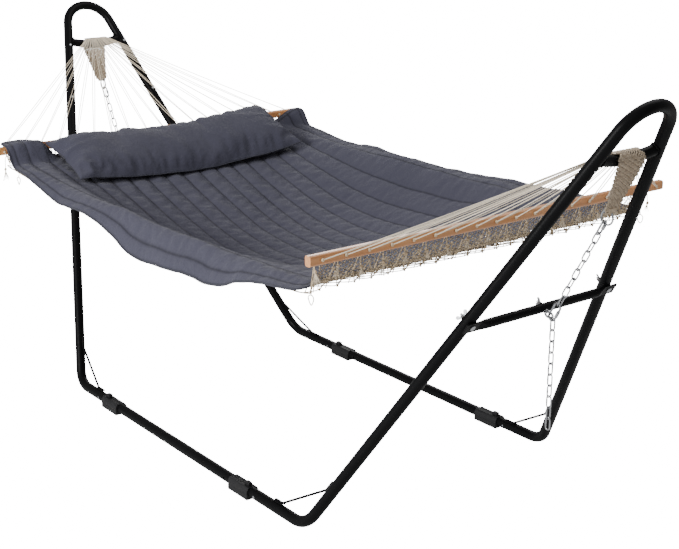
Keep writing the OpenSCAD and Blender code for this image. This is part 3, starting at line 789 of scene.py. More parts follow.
@dataclass(frozen=True)
class Stand:
    """The tube stand: its model nodes get their finishes, and its welds are added.

    Attributes:
        saddle_x: Distance of a saddle's middle from the stand's middle.
        saddle_z: Height of a saddle's middle.
        lean: Lean of the end frames.
        leg_lean: Lean of a leg towards the other, within its end frame.
        base_half: Half the length of the base, between the frames' planes.
        base_z: Height of the base tubes' middle line.
        base_half_w: Half the width between the base tubes' middle lines.
        tube_r: Radius of the tubes.
        bead: Radius of a weld ripple.
        saddle_up: Distance of a saddle up its frame.
        saddle_r: Radius of the weld round a saddle's end.
        foot_turn: Turn of a brace rod's foot from the lengthwise direction.
    """

    saddle_x: float = 1.4449
    saddle_z: float = 1.2128
    lean: float = math.radians(31)
    leg_lean: float = math.radians(15.5)
    base_half: float = 0.730
    base_z: float = 0.023
    base_half_w: float = 0.510
    tube_r: float = 0.018
    bead: float = 0.0032
    saddle_up: float = 1.404
    saddle_r: float = 0.0168
    foot_turn: float = math.radians(17.93)

    def dress_nodes(self) -> None:
        """Give each model node of the stand and its fittings a finish."""
        starts = {"plastic": ("foot_clip",), "wood": ("spreader_bar",),
                  "powder": ("base_tube", "corner_tube", "upright", "hoop", "saddle", "brace_rod",
                             "crossbar_near", "crossbar_far")}
        for name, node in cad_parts.items():
            finish = next((key for key, heads in starts.items() if name.startswith(heads)), "zinc")
            dress(node, finish)

    def frame_point(self, end: End, n: float, across: float, up: float) -> Point:
        """A point of an end frame.

        Args:
            end: Which end.
            n: Distance along the frame's outer normal.
            across: Distance across, along Y.
            up: Distance up the frame.

        Returns:
            The point in the model's frame.
        """
        x = self.base_half + up * math.sin(self.lean) + n * math.cos(self.lean)
        return (end.value * x, across, self.base_z + up * math.cos(self.lean) - n * math.sin(self.lean))

    def saddle_rings(self) -> list[np.ndarray]:
        """Points round each end of each saddle, where it is welded to a leg."""
        rings, up = [], self.saddle_up
        leg_r = self.tube_r / math.cos(self.leg_lean)
        across = self.base_half_w - up * math.tan(self.leg_lean) - leg_r + 0.002
        for end in End:
            for side in (-1, 1):
                turn = np.linspace(0, 2 * math.pi, 30, endpoint=False)
                ring = []
                for a in turn:
                    n, v = self.saddle_r * math.cos(a), self.saddle_r * math.sin(a)
                    inward = across + 0.0045 * math.cos(2 * a) - v * math.tan(self.leg_lean)
                    ring.append(self.frame_point(end, n, side * inward, up + v))
                rings.append(np.array(ring))
        return rings

    def brace_lines(self) -> list[np.ndarray]:
        """Points along both sides of each brace rod's feet, where it is welded to its tubes."""
        lines = []
        for end in End:
            for side, word in ((-1, "left"), (1, "right")):
                low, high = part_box(f"brace_rod_{end.word}_{word}")
                foot_z = low.z + 0.0020
                outer = low.x if end is End.FAR else high.x
                inner = high.x if end is End.FAR else low.x
                middle_y = side * self.base_half_w - side * math.sin(self.foot_turn) * 0.022
                for offset in (-0.0052, 0.0052):
                    xs = np.linspace(inner, inner + (outer - inner) * 0.17, 14)
                    lines.append(np.array([(x, middle_y + offset, foot_z + 0.0008) for x in xs]))
        return lines

    def welds(self) -> Object:
        """Weld ripples at the saddles and the brace rods' feet.

        Returns:
            The welds, riding on the stand.
        """
        places = np.concatenate(self.saddle_rings() + self.brace_lines())
        ball = round_piece("weld_ripple", self.bead, 8, 5, squash=0.62)
        turns = np.zeros_like(places)
        turns[:, 1] = self.lean
        sizes = 1 + 0.14 * np.sin(np.arange(len(places)) * 2.4)
        welds = set_pieces("weld_beads", ball, places, turns, "powder", sizes, jitter=0.25, seed=3)
        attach(welds, "stand")
        return welds


STAND = Stand()


def round_piece(name: str, radius: float, around: int, rings: int, squash: float = 1.0) -> Object:
    """A closed ball or bead about the origin.

    Args:
        name: The object's name.
        radius: Its radius.
        around: Points round it.
        rings: Rings between its poles.
        squash: Its height as a share of its width.

    Returns:
        The object.
    """
    points, faces = [(0, 0, -radius * squash)], []
    for i in range(1, rings + 1):
        a = math.pi * i / (rings + 1)
        for k in range(around):
            b = 2 * math.pi * k / around
            points.append((radius * math.sin(a) * math.cos(b), radius * math.sin(a) * math.sin(b),
                           -radius * squash * math.cos(a)))
    points.append((0, 0, radius * squash))
    for k in range(around):
        j = (k + 1) % around
        faces.append((0, 1 + j, 1 + k))
        for i in range(rings - 1):
            a, b = 1 + i * around, 1 + (i + 1) * around
            faces.append((a + k, a + j, b + j, b + k))
        last = 1 + (rings - 1) * around
        faces.append((last + k, last + j, len(points) - 1))
    return mesh_object(name, np.array(points), faces, "powder")


# ---------------------------------------------------------------- rigging


@dataclass
class Chains:
    """The small welded links, in place of the model's plain ones.

    Attributes:
        wire: Radius of a link's wire.
        half_span: Half the straight part of a link.
        end_r: Centre-line radius of a link's round ends.
        step: From one link to the next.
        tilt: Tilt of the loaded chain from upright.
        loaded: Number of links in the loaded chain.
        free: Number of links in the free chain.
    """

    wire: float = 0.00225
    half_span: float = 0.01125
    end_r: float = 0.008
    step: float = 0.0337
    tilt: float = math.radians(28.6)
    loaded: int = 8
    free: int = 10

    def link(self) -> Object:
        """One oval link about the origin, its long axis on Z, with a weld swelling on one side."""
        path = []
        for centre, start in ((self.half_span, 0.0), (-self.half_span, math.pi)):
            path += [(self.end_r * math.cos(start + a), centre + self.end_r * math.sin(start + a))
                     for a in np.linspace(0, math.pi, 7)]
        path.insert(7, (-self.end_r, 0.0))
        points, faces, sides = [], [], 8
        for i, (x, z) in enumerate(path):
            before, after = path[i - 1], path[(i + 1) % len(path)]
            along = Vector((after[0] - before[0], 0, after[1] - before[1])).normalized()
            out = Vector((0, 1, 0)).cross(along)
            radius = self.wire * (1.22 if i == 7 else 1.0)
            for k in range(sides):
                a = 2 * math.pi * k / sides
                p = Vector((x, 0, z)) + radius * (math.cos(a) * out + math.sin(a) * Vector((0, 1, 0)))
                points.append(tuple(p))
        count = len(path)
        for i in range(count):
            a, b = i * sides, ((i + 1) % count) * sides
            faces += [(a + k, a + (k + 1) % sides, b + (k + 1) % sides, b + k) for k in range(sides)]
        return mesh_object("chain_link", np.array(points), faces, "zinc")

    def build(self, end: End, link: Object) -> list[Object]:
        """Both chains of one end.

        Args:
            end: Which end.
            link: The link to repeat.

        Returns:
            The loaded chain and the free chain.
        """
        made = []
        for name, count, tilt in ((f"loaded_chain_{end.word}", self.loaded, self.tilt),
                                  (f"chain_tail_{end.word}", self.free, 0.0)):
            low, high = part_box(name)
            first_z = low.z + (self.half_span * math.cos(tilt) + self.end_r + self.wire)
            last_z = first_z + (count - 1) * self.step * math.cos(tilt)
            middle_x = (low.x + high.x) / 2
            span_x = (last_z - first_z) * math.tan(tilt) * end.value
            zs = np.linspace(first_z, last_z, count)
            xs = middle_x - span_x / 2 + span_x * np.linspace(0, 1, count)
            places = np.stack([xs, np.zeros(count), zs], axis=1)
            turns = np.zeros((count, 3))
            for i in range(count):
                # Every second link is turned a quarter, from the link at the hook on.
                place = i if tilt else count - 1 - i
                spin = math.pi / 2 if place % 2 == 0 else 0.0
                lean = Matrix.Rotation(tilt * end.value, 3, "Y")
                turns[i] = (lean @ Matrix.Rotation(spin, 3, "Z")).to_euler()
            chain = set_pieces(name.replace("chain", "links"), link, places, turns, "zinc", seed=5,
                               keep=True)
            body = "stand" if tilt else f"tail_{end.word}"
            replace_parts(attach(chain, body), name)
            made.append(chain)
        return made


@dataclass
class Throat:
    """The woven throat: a flat braid that comes over the saddle and runs down to the ring.

    Attributes:
        strands: Number of strands in the braid.
        cord_r: Radius of a strand.
        top_half: Half the width over the saddle.
        low_half: Half the width at the ring.
        ring_x: Distance of the ring's middle from the stand's middle.
        ring_z: Height of the ring's middle.
        over_r: Distance of the braid from the saddle's middle line.
        tilt: Tilt of the chain and the ring from upright.
        turn_length: Length in which a strand crosses half the braid.
        loop_r: Radius of the loops round the ring.
    """

    strands: int = 16
    cord_r: float = 0.0029
    top_half: float = 0.054
    low_half: float = 0.026
    ring_x: float = 1.3973
    ring_z: float = 1.0470
    over_r: float = 0.0235
    tilt: float = math.radians(28.6)
    turn_length: float = 0.052
    loop_r: float = 0.0052

    def track(self) -> tuple[np.ndarray, np.ndarray]:
        """The braid's middle line in the lengthwise plane, from the ring up and over the saddle.

        Returns:
            Points as x and z, and the outward normal at each.
        """
        low = np.array([self.ring_x + 0.0235 * math.sin(self.tilt),
                        self.ring_z + 0.0235 * math.cos(self.tilt)])
        middle = np.array([STAND.saddle_x, STAND.saddle_z])
        run = middle - low
        reach = float(np.linalg.norm(run))
        slope = math.atan2(run[0], run[1]) + math.asin(self.over_r / reach)
        length = math.sqrt(reach**2 - self.over_r**2)
        straight = [low + s * np.array([math.sin(slope), math.cos(slope)])
                    for s in np.linspace(0, length, 60)[:-1]]
        arc = [middle + self.over_r * np.array([math.cos(a), math.sin(a)])
               for a in np.linspace(-slope, math.radians(112), 26)]
        points = np.array(straight + arc)
        step = np.gradient(points, axis=0)
        step /= np.linalg.norm(step, axis=1)[:, None]
        return points, np.stack([step[:, 1], -step[:, 0]], axis=1)

    def build(self, end: End) -> Object:
        """Braid one throat.

        Args:
            end: Which end.

        Returns:
            The throat, riding on the stand.
        """
        track, normal = self.track()
        lengths = lengths_along(track)
        total = lengths[-1]
        paths = []
        for strand in range(self.strands):
            s = np.linspace(0.002, total, 190)
            share = np.clip(s / (total * 0.68), 0, 1)
            half = self.low_half + (self.top_half - self.low_half) * share**1.15
            lift_x, lift_z = (np.interp(s, lengths, normal[:, i]) for i in (0, 1))
            x, z = (np.interp(s, lengths, track[:, i]) for i in (0, 1))
            phase = 2 * strand / self.strands + s / self.turn_length
            wave = 2 * np.abs(2 * (phase / 2 - np.floor(phase / 2 + 0.5))) - 1
            over = np.sin(math.pi * (wave * self.strands / 2 + strand)) * self.cord_r * 0.95
            lift = over * np.sign(np.sin(math.pi * phase))
            # The braid opens into level strands where it lies on the saddle.
            fan = smooth((s - total * 0.80) / (total * 0.16))
            own = 2 * (strand + 0.5) / self.strands - 1
            wave = wave * (1 - fan) + own * fan
            lift = lift * (1 - fan)
            paths.append(np.stack([end.value * (x + lift * lift_x), wave * (half - self.cord_r),
                                   z + lift * lift_z], axis=1))
        for side in np.linspace(-0.011, 0.011, 6):
            turn = np.linspace(-0.35 * math.pi, 1.35 * math.pi, 22)
            grip = np.array([self.ring_x + 0.0205 * math.sin(self.tilt),
                             self.ring_z + 0.0205 * math.cos(self.tilt)])
            across = np.array([math.cos(self.tilt), -math.sin(self.tilt)])
            up = np.array([math.sin(self.tilt), math.cos(self.tilt)])
            loop = [grip - self.loop_r * (math.cos(a) * across * -1 + math.sin(a) * up) + up * 0.0012
                    for a in turn]
            loop = [p + up * (0.009 if i in (0, len(turn) - 1) else 0) for i, p in enumerate(loop)]
            paths.append(np.array([(end.value * p[0], side * 1.15, p[1]) for p in loop]))
        throat = laid_cord(f"woven_throat_{end.word}", paths, "braid", self.cord_r, lay=0.016, step=0.004,
                           hollow=0.74)
        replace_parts(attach(throat, "stand"), f"throat_{end.word}")
        return throat


@dataclass
class ClewRopes:
    """The fan of ropes from a spreader bar's holes up to its saddle.

    Attributes:
        radius: Radius of a rope.
        spread: Width of all the ropes on the saddle.
        over_r: Distance of the ropes from the saddle's middle line.
    """

    radius: float = 0.0017
    spread: float = 0.096
    over_r: float = 0.0235

    def rope_path(self, end: End, index: int, twin: int) -> np.ndarray:
        """One rope's centre line, from its knot inside the bar to the saddle.

        Args:
            end: Which end.
            index: Which hole, counted from the left.
            twin: -1 or 1: each hole holds a doubled rope.

        Returns:
            Points of the path.
        """
        y = BED.hole_ys()[index] + 0.0018 * twin
        bar_x, bar_z = abs(BED.bar(end)[0]), BED.bar(end)[1]
        on_saddle = ((index + 0.24 * twin) / (BED.rope_count - 1) - 0.5) * self.spread
        top = Vector((STAND.saddle_x - self.over_r * 0.42, on_saddle,
                      STAND.saddle_z + self.over_r * 0.93 + (index % 2) * 0.0014))
        start = Vector((bar_x + BED.bar_t / 2 + 0.004, y, bar_z + 0.001))
        path = [Vector((bar_x - BED.bar_t / 2 - 0.008, y, bar_z - 0.003)), Vector((bar_x, y, bar_z)), start]
        slack = 0.004 + 0.003 * math.sin(index * 2.3 + end.value + twin)
        for s in np.linspace(0.03, 0.97, 18):
            p = start.lerp(top, float(s))
            p.z -= slack * 4 * s * (1 - s)
            p.y += 0.002 * math.sin(3 * s + index) + 0.0035 * twin * math.sin(math.pi * s)
            path.append(p)
        path.append(top)
        for a in np.linspace(math.radians(98), math.radians(70), 4):
            path.append(Vector((STAND.saddle_x + self.over_r * math.cos(a), on_saddle * 0.97,
                                STAND.saddle_z + self.over_r * math.sin(a))))
        return np.array([(end.value * p.x, p.y, p.z) for p in path])

    def build(self, end: End) -> Object:
        """Make one fan.

        Args:
            end: Which end.

        Returns:
            The ropes, which run between the stand and the bed.
        """
        paths = [self.rope_path(end, i, twin) for i in range(BED.rope_count) for twin in (-1, 1)]
        ropes = laid_cord(f"rope_fan_{end.word}", paths, "cotton", self.radius, lay=0.018, step=0.006)
        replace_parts(ropes, f"clew_ropes_{end.word}")
        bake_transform(ropes)
        return ropes


# ---------------------------------------------------------------- the net


@dataclass
class Net:
    """The knotted net between the two bars, its knots, bar cords and frayed ends.

    Attributes:
        across: Number of half meshes across.
        along: Number of half meshes along.
        cord_r: Radius of the cord.
        seed: Seed of its small unevenness.
        knot_r: Radius of a net knot.
        bar_knot_r: Radius of a knot at a bar.
        panel_r: Radius of the cord in the panels at the bars.
        panel_rows: Half meshes down a panel.
        near_drop: Depth of the near bar's panel.
        far_drop: Depth of the far bar's panel.
    """

    across: int = 44
    along: int = 66
    cord_r: float = 0.0018
    seed: int = 11
    knot_r: float = 0.0036
    bar_knot_r: float = 0.0048
    panel_r: float = 0.0022
    panel_rows: int = 12
    near_drop: float = 0.074
    far_drop: float = 0.026

    def node(self, i: int, j: int) -> Vector:
        """Place of a mesh corner.

        Args:
            i: Row along the bed.
            j: Column across it.

        Returns:
            The point on the net's surface.
        """
        head, foot = BED.far_x + 0.022, BED.near_x - 0.022
        x = head + (foot - head) * i / self.along
        pull = 1 - 0.035 * math.sin(math.pi * i / self.along)
        y = BED.net_half_w * (2 * j / self.across - 1) * pull
        rng = noise.noise(Vector((i * 0.7, j * 0.7, self.seed)))
        y += 0.004 * rng
        z = height(BED.net, x, y) + 0.003 * noise.noise(Vector((i * 0.9, j * 0.9, 4.0)))
        return Vector((x, y, z))

    def build(self) -> list[Object]:
        """Knot the net.

        Returns:
            The meshes, the knots, the bar cords and the frayed ends.
        """
        paths, knots = [], []
        for j in range(0, self.across + 1, 2):
            for lean in (1, -1):
                line = []
                for i in range(self.along + 1):
                    column = min(self.across, max(0, j + lean * (i % 2)))
                    line.append(self.node(i, column))
                paths.append(np.array([tuple(p) for p in line]))
        for i in range(1, self.along):
            for j in range(i % 2, self.across + 1, 2):
                knots.append(tuple(self.node(i, j)))
        for side in (0, self.across):
            edge = [tuple(self.node(i, side) + Vector((0, 0.003 * (1 if side else -1), 0)))
                    for i in range(self.along + 1)]
            paths.append(np.array(edge))
        net = laid_cord("knotted_net", paths, "net", self.cord_r, lay=0.012, step=0.014, hollow=0.8)
        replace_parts(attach(net, "bed"), "rope_net")
        ball = round_piece("net_knot", self.knot_r, 6, 3, squash=0.8)
        places = np.array(knots)
        knotted = set_pieces("net_knots", ball, places, np.zeros_like(places), "net", jitter=0.8,
                             seed=self.seed)
        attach(knotted, "bed")
        return [net, knotted, self.bar_panels(), *self.bar_ends()]

    def bar_panels(self) -> Object:
        """The close net that hangs from each bar and turns in under the pad.

        Returns:
            Both panels, riding on the bed.
        """
        paths, rows = [], self.panel_rows
        for end in End:
            bar_x, bar_z = BED.bar(end)
            edge_x, drop = (BED.foot_x, self.near_drop) if end is End.NEAR else (BED.head_x, self.far_drop)
            top = Vector((bar_x - end.value * (BED.bar_t / 2 + 0.003), 0, bar_z - BED.bar_h / 2 + 0.004))
            pitch = BED.hole_pitch / 6
            count = int(BED.net_half_w / pitch)
            grid = {}
            for i in range(rows + 1):
                s = i / rows
                for k in range(-count, count + 1):
                    wobble = noise.noise(Vector((i * 0.8, k * 0.6, end.value * 3.0)))
                    y = k * pitch + 0.003 * wobble
                    inner_z = height(BED.net, edge_x, y) - 0.004
                    low_z = max(inner_z, bar_z - BED.bar_h / 2 - drop)
                    x = top.x + (edge_x - top.x) * s**2.2
                    grid[i, k] = (x, y, top.z + (low_z - top.z) * s**0.75 + 0.003 * wobble)
            for lean in (1, -1):
                for start in range(-count, count + 1, 2):
                    line = [grid[i, max(-count, min(count, start + lean * (i % 2)))]
                            for i in range(rows + 1)]
                    paths.append(np.array(line))
            for i in (rows - 3, rows):
                paths.append(np.array([grid[i, k] for k in range(-count, count + 1)]))
        panels = laid_cord("bar_net_panels", paths, "net", self.panel_r, lay=0.012, step=0.008, hollow=0.78)
        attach(panels, "bed")
        return panels

    def bar_ends(self) -> list[Object]:
        """Cords, knots and frayed ends that hang at each bar hole.

        Returns:
            The bar cords, their knots and the tassels.
        """
        ties, knots, tassels, turns, sizes = [], [], [], [], []
        rng = np.random.default_rng(self.seed)
        for end in End:
            bar_x, bar_z = BED.bar(end)
            inner = bar_x - end.value * (BED.bar_t / 2 + 0.006)
            for k, y in enumerate(BED.hole_ys()):
                drop = 0.036 + 0.030 * rng.random()
                sway = 0.006 * (rng.random() - 0.5)
                outer = bar_x + end.value * (BED.bar_t / 2 + 0.004)
                ties.append(np.array([(inner, y, bar_z),
                                      (inner - end.value * 0.006, y + 0.004, bar_z - 0.012),
                                      (inner - end.value * 0.004, y + sway, bar_z - 0.024),
                                      (inner, y + sway, bar_z - drop)]))
                node_x = (BED.near_x - 0.022 - 0.030) if end is End.NEAR else (BED.far_x + 0.022 + 0.030)
                for shift in (-0.019, 0.019):
                    ny = float(np.clip(y + shift, -BED.net_half_w, BED.net_half_w))
                    nz = height(BED.net, node_x, ny)
                    ties.append(np.array([(inner, y, bar_z - 0.001), (node_x, ny, nz)]))
                knots += [(inner, y, bar_z), (inner, y + sway, bar_z - drop)]
                knots.append((outer, y, bar_z + 0.001))
                tassels.append((inner, y + sway, bar_z - drop))
                turns.append((0.35 * (rng.random() - 0.5), 0.35 * (rng.random() - 0.5),
                              6.28 * rng.random()))
                sizes.append(0.75 + 0.6 * rng.random())
        cords = laid_cord("bar_cords", ties, "net", 0.0017, lay=0.014, step=0.004)
        ball = round_piece("cord_knot", self.bar_knot_r, 8, 5, squash=1.15)
        places = np.array(knots)
        tied = set_pieces("bar_knots", ball, places, np.zeros_like(places), "net", jitter=0.6, seed=2)
        tuft = self.tuft()
        frayed = set_pieces("frayed_ends", tuft, np.array(tassels), np.array(turns), "cotton",
                            np.array(sizes), seed=4)
        for piece in (cords, tied, frayed):
            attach(piece, "bed")
        return [cords, tied, frayed]

    def tuft(self) -> Object:
        """A frayed cord end that hangs from the origin, of thin loose yarns."""
        rng = np.random.default_rng(self.seed + 1)
        points, faces = [], []
        for _ in range(16):
            a = rng.random() * 2 * math.pi
            spread = 0.004 + 0.006 * rng.random()
            length = 0.022 + 0.012 * rng.random()
            bend = rng.random() - 0.5
            for i in range(4):
                s = i / 3
                centre = Vector((math.cos(a + bend * s) * spread * s**1.4,
                                 math.sin(a + bend * s) * spread * s**1.4, -length * s))
                for k in range(3):
                    b = 2 * math.pi * k / 3
                    side = Vector((math.cos(b), math.sin(b), 0))
                    points.append(tuple(centre + 0.0009 * (1.1 - 0.6 * s) * side))
            base = len(points) - 12
            for i in range(3):
                faces += [(base + 3 * i + k, base + 3 * (i + 1) + k, base + 3 * (i + 1) + (k + 1) % 3,
                           base + 3 * i + (k + 1) % 3) for k in range(3)]
            faces += [(base, base + 1, base + 2), (base + 11, base + 10, base + 9)]
        return mesh_object("yarn_tuft", np.array(points), faces, "cotton")

    def corner_loops(self) -> Object:
        """Cord loops at the net's corners, in place of the model's rings.

        Returns:
            The loops, riding on the bed.
        """
        low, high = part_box("net_corner_loops")
        paths = []
        for x in (BED.far_x + 0.120, BED.near_x - 0.040):
            for y in (low.y + 0.002, high.y - 0.002):
                z = height(BED.net, x, math.copysign(BED.net_half_w, y)) - 0.026
                turn = np.linspace(0, 2 * math.pi, 26)
                paths.append(np.array([(x + 0.011 * math.sin(a), y + 0.002 * math.sin(2 * a),
                                        z + 0.014 * math.cos(a)) for a in turn]))
                paths.append(np.array([(x, y, z + 0.014), (x + 0.001, y * 0.996, z + 0.024)]))
        loops = laid_cord("corner_cord_loops", paths, "cotton", 0.002, lay=0.016, step=0.004)
        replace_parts(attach(loops, "bed"), "net_corner_loops")
        return loops


# ---------------------------------------------------------------- padded pieces


@dataclass(frozen=True)
class Inflation:
    """How a sewn shell is blown up by its filling.

    Attributes:
        pressure: The cloth simulation's pressure.
        shrink: Shrink factor; below 0 the cloth is larger than the shell, and creases.
        cap: Farthest that a point may move.
        stiffness: Stretch and compression stiffness of the cloth.
        frames: Length of the simulation.
    """

    pressure: float = 4.0
    shrink: float = -0.03
    cap: float = 0.010
    stiffness: float = 12.0
    frames: int = 20

    def run(self, obj: Object, held: np.ndarray) -> None:
        """Inflate a closed shell and write the result into its mesh.

        Args:
            obj: The shell.
            held: Weight of each vertex in the pinned seams.
        """
        group = obj.vertex_groups.new(name="seams")
        for i in np.nonzero(held > 0)[0]:
            group.add([int(i)], float(held[i]), "REPLACE")
        start = coordinates(obj.data)
        cloth = obj.modifiers.new("filling", "CLOTH")
        settings = cloth.settings
        settings.quality, settings.mass, settings.air_damping = 5, 0.25, 2.0
        settings.tension_stiffness = settings.compression_stiffness = self.stiffness
        settings.shear_stiffness, settings.bending_stiffness = 4.0, 0.4
        settings.use_pressure, settings.uniform_pressure_force = True, self.pressure
        settings.shrink_min = self.shrink
        settings.vertex_group_mass, settings.pin_stiffness = "seams", 1.0
        settings.effector_weights.gravity = 0.0
        cloth.collision_settings.use_collision = cloth.collision_settings.use_self_collision = False
        cloth.point_cache.frame_start, cloth.point_cache.frame_end = 1, self.frames
        scene = bpy.context.scene
        for number in range(1, self.frames + 1):
            scene.frame_set(number)
        shape = obj.evaluated_get(bpy.context.evaluated_depsgraph_get()).to_mesh()
        moved = coordinates(shape)
        obj.modifiers.remove(cloth)
        scene.frame_set(1)
        shift = np.nan_to_num(moved - start)
        length = np.linalg.norm(shift, axis=1, keepdims=True)
        shift *= self.cap * np.tanh(length / self.cap) / np.maximum(length, 1e-9)
        LOG.info("%s: filling moved its cloth by up to %.1f mm", obj.name,
                 1000 * float(np.abs(shift).max()))
        obj.data.vertices.foreach_set("co", (start + shift).ravel())
        obj.data.update()


def shell(name: str, top: np.ndarray, bottom: np.ndarray, finish: str) -> Object:
    """A closed shell from two grids of the same size, joined round their outline.

    Args:
        name: The object's name.
        top: Grid of points, rows by columns by 3.
        bottom: The same for the underside.
        finish: A key of FINISHES.

    Returns:
        The shell, whose rows run along +X and columns along +Y.
    """
    rows, columns = top.shape[:2]
    total = rows * columns
    faces = []
    for i in range(rows - 1):
        for j in range(columns - 1):
            a, b = i * columns + j, (i + 1) * columns + j
            faces.append((a, b, b + 1, a + 1))
            faces.append((total + a, total + a + 1, total + b + 1, total + b))
    rim = [i * columns for i in range(rows)]
    rim += [(rows - 1) * columns + j for j in range(1, columns)]
    rim += [i * columns + columns - 1 for i in range(rows - 2, -1, -1)]
    rim += list(range(columns - 2, 0, -1))
    for k, a in enumerate(rim):
        b = rim[(k + 1) % len(rim)]
        faces.append((b, a, total + a, total + b))
    return mesh_object(name, np.concatenate([top.reshape(-1, 3), bottom.reshape(-1, 3)]), faces, finish)


def subdivided(obj: Object, name: str) -> Object:
    """Apply one level of subdivision and return the plain object."""
    modifier = obj.modifiers.new("smooth", "SUBSURF")
    modifier.levels = modifier.render_levels = 1
    return baked(obj, name)


@dataclass
class Quilt:
    """The quilted pad: sewn channels, plain side borders, an inset seam and a bound edge.

    Attributes:
        channels: Channels between the side seams.
        per_channel: Mesh columns in a channel.
        rows: Mesh rows along the pad.
        seam: Half the pad's thickness at a seam.
        puff: Half its extra thickness in a channel before it is filled.
    """

    channels: int = 16
    per_channel: int = 8
    rows: int = 144
    seam: float = 0.0012
    puff: float = 0.0068
    inset: float = 0.024

    def columns(self) -> tuple[np.ndarray, np.ndarray, np.ndarray]:
        """The mesh columns across the pad.

        Returns:
            Their places, their share of the puff, and 1 where the column is a seam.
        """
        width, inner = 2 * BED.seam_y / self.channels, BED.half_w - self.inset
        edge = np.concatenate([np.linspace(BED.half_w, inner, 4)[:-1],
                               np.linspace(inner, BED.seam_y, 6)[:-1]])
        puff = np.concatenate([[0, 0.45, 0.45], [0, 0.55, 0.8, 0.8, 0.55]])
        held = np.concatenate([[1, 0, 0], [1, 0, 0, 0, 0]])
        ys = -BED.seam_y + width * np.arange(self.channels * self.per_channel + 1) / self.per_channel
        phase = np.arange(len(ys)) % self.per_channel / self.per_channel
        body = np.power(np.sin(math.pi * phase), 0.45)
        return (np.concatenate([-edge, ys, edge[::-1]]), np.concatenate([puff, body, puff[::-1]]),
                np.concatenate([held, (phase == 0).astype(float), held[::-1]]))

    def grids(self) -> tuple[np.ndarray, np.ndarray, np.ndarray]:
        """The pad's two faces before it is filled.

        Returns:
            The top grid, the bottom grid and the weight of each point in the seams.
        """
        ys, puff, seam = self.columns()
        length = BED.foot_x - BED.head_x
        inset_t = self.inset / length
        ts = np.concatenate([[0, inset_t / 2], np.linspace(inset_t, 1 - inset_t, self.rows - 4),
                             [1 - inset_t / 2, 1]])
        t, across = np.meshgrid(ts, ys, indexing="ij")
        run = np.minimum(t, 1 - t) * length
        cut = np.maximum(0, BED.corner_r - run)
        side = BED.half_w - BED.corner_r + np.sqrt(np.maximum(0, BED.corner_r**2 - cut**2))
        past = (np.abs(across) - BED.seam_y) * (side - BED.seam_y) / (BED.half_w - BED.seam_y)
        y = np.where(np.abs(across) > BED.seam_y, np.sign(across) * (BED.seam_y + past), across)
        head = BED.head_edge(y)
        x = head + (BED.foot_x - head) * t
        border = smooth((np.abs(y) - BED.seam_y + 0.01) / 0.03)
        y = y + 0.004 * ripple(x, y * 0, 5.0, 2.5) * border
        z = BED.pad(x, y)
        z += border * (0.0022 * ripple(x, y * 0.35, 17.0, 1.0) + 0.011 * ripple(x, y * 0, 3.2, 8.0))
        z += 0.0022 * ripple(x, y, 6.0, 5.0)
        ends = np.minimum(t / inset_t, (1 - t) / inset_t)
        lengthwise = np.where(ends <= 1, 0.4 * np.sin(math.pi * np.clip(ends, 0, 1)),
                              np.power(np.clip((ends - 1) * 0.7, 0, 1), 0.5))
        fill = puff[None, :] * lengthwise * (1 + 0.22 * ripple(x, y, 9.0, 3.0))
        pucker = 0.0016 * ripple(x, y * 0.45, 46.0, 6.0) * np.clip(puff[None, :] * 2, 0, 1)
        half = self.seam + self.puff * fill
        top = np.stack([x, y, z + half + pucker], axis=2)
        bottom = np.stack([x, y, z - half * 0.9 + 0.5 * pucker], axis=2)
        held = np.broadcast_to(seam[None, :], t.shape).copy()
        held[[0, -1], :] = 1
        held[[2, -3], :] = 1
        held[:, [0, -1]] = 1
        return top, bottom, np.concatenate([held.ravel(), held.ravel()])

    def build(self) -> list[Object]:
        """Sew, fill and bind the pad.

        Returns:
            The pad, its stitches and its binding.
        """
        top, bottom, held = self.grids()
        rows, columns = top.shape[:2]
        raw = shell("pad_shell", top, bottom, "quilt")
        # These seam weights also feed the quilt material's painted shade, which darkens the cloth's colour
        # along the seams.
        seams = raw.data.attributes.new("seam", "FLOAT", "POINT")
        seams.data.foreach_set("value", np.clip(held, 0, 1).astype(np.float32))
        Inflation(cap=0.0045).run(raw, held)
        pad = subdivided(raw, "quilted_pad_cloth")
        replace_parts(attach(pad, "bed"), "quilted_pad")
        # Subdivision keeps the shell's own points first, in their order.
        grid, under = coordinates(pad.data)[: 2 * rows * columns].reshape(2, rows, columns, 3)
        return [pad, self.stitches(grid, held.reshape(2, rows, columns)[0]), self.binding(grid, under)]

    def stitches(self, grid: np.ndarray, held: np.ndarray) -> Object:
        """Lockstitches along every seam of the upper face.

        Args:
            grid: Points of the upper face.
            held: Weight of each point in the seams.

        Returns:
            The stitches, riding on the bed.
        """
        lines = [grid[2:-2, j] for j in range(1, grid.shape[1] - 1) if held[grid.shape[0] // 2, j] > 0]
        lines += [grid[i, 3:-3] for i in (2, grid.shape[0] - 3)]
        places, turns = [], []
        for line in lines:
            lengths = lengths_along(line)
            marks = np.arange(0.004, lengths[-1], 0.0085)
            spots = np.stack([np.interp(marks, lengths, line[:, k]) for k in range(3)], axis=1)
            ahead = np.gradient(spots, axis=0)
            places.append(spots + np.array([0, 0, 0.0006]))
            heading = np.arctan2(ahead[:, 1], ahead[:, 0])
            pitch = -np.arctan2(ahead[:, 2], np.hypot(ahead[:, 0], ahead[:, 1]))
            turns.append(np.stack([np.zeros(len(spots)), pitch, heading], axis=1))
        piece = self.stitch()
        sewn = set_pieces("pad_stitches", piece, np.concatenate(places), np.concatenate(turns), "thread",
                          jitter=0.06, seed=9)
        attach(sewn, "bed")
        return sewn

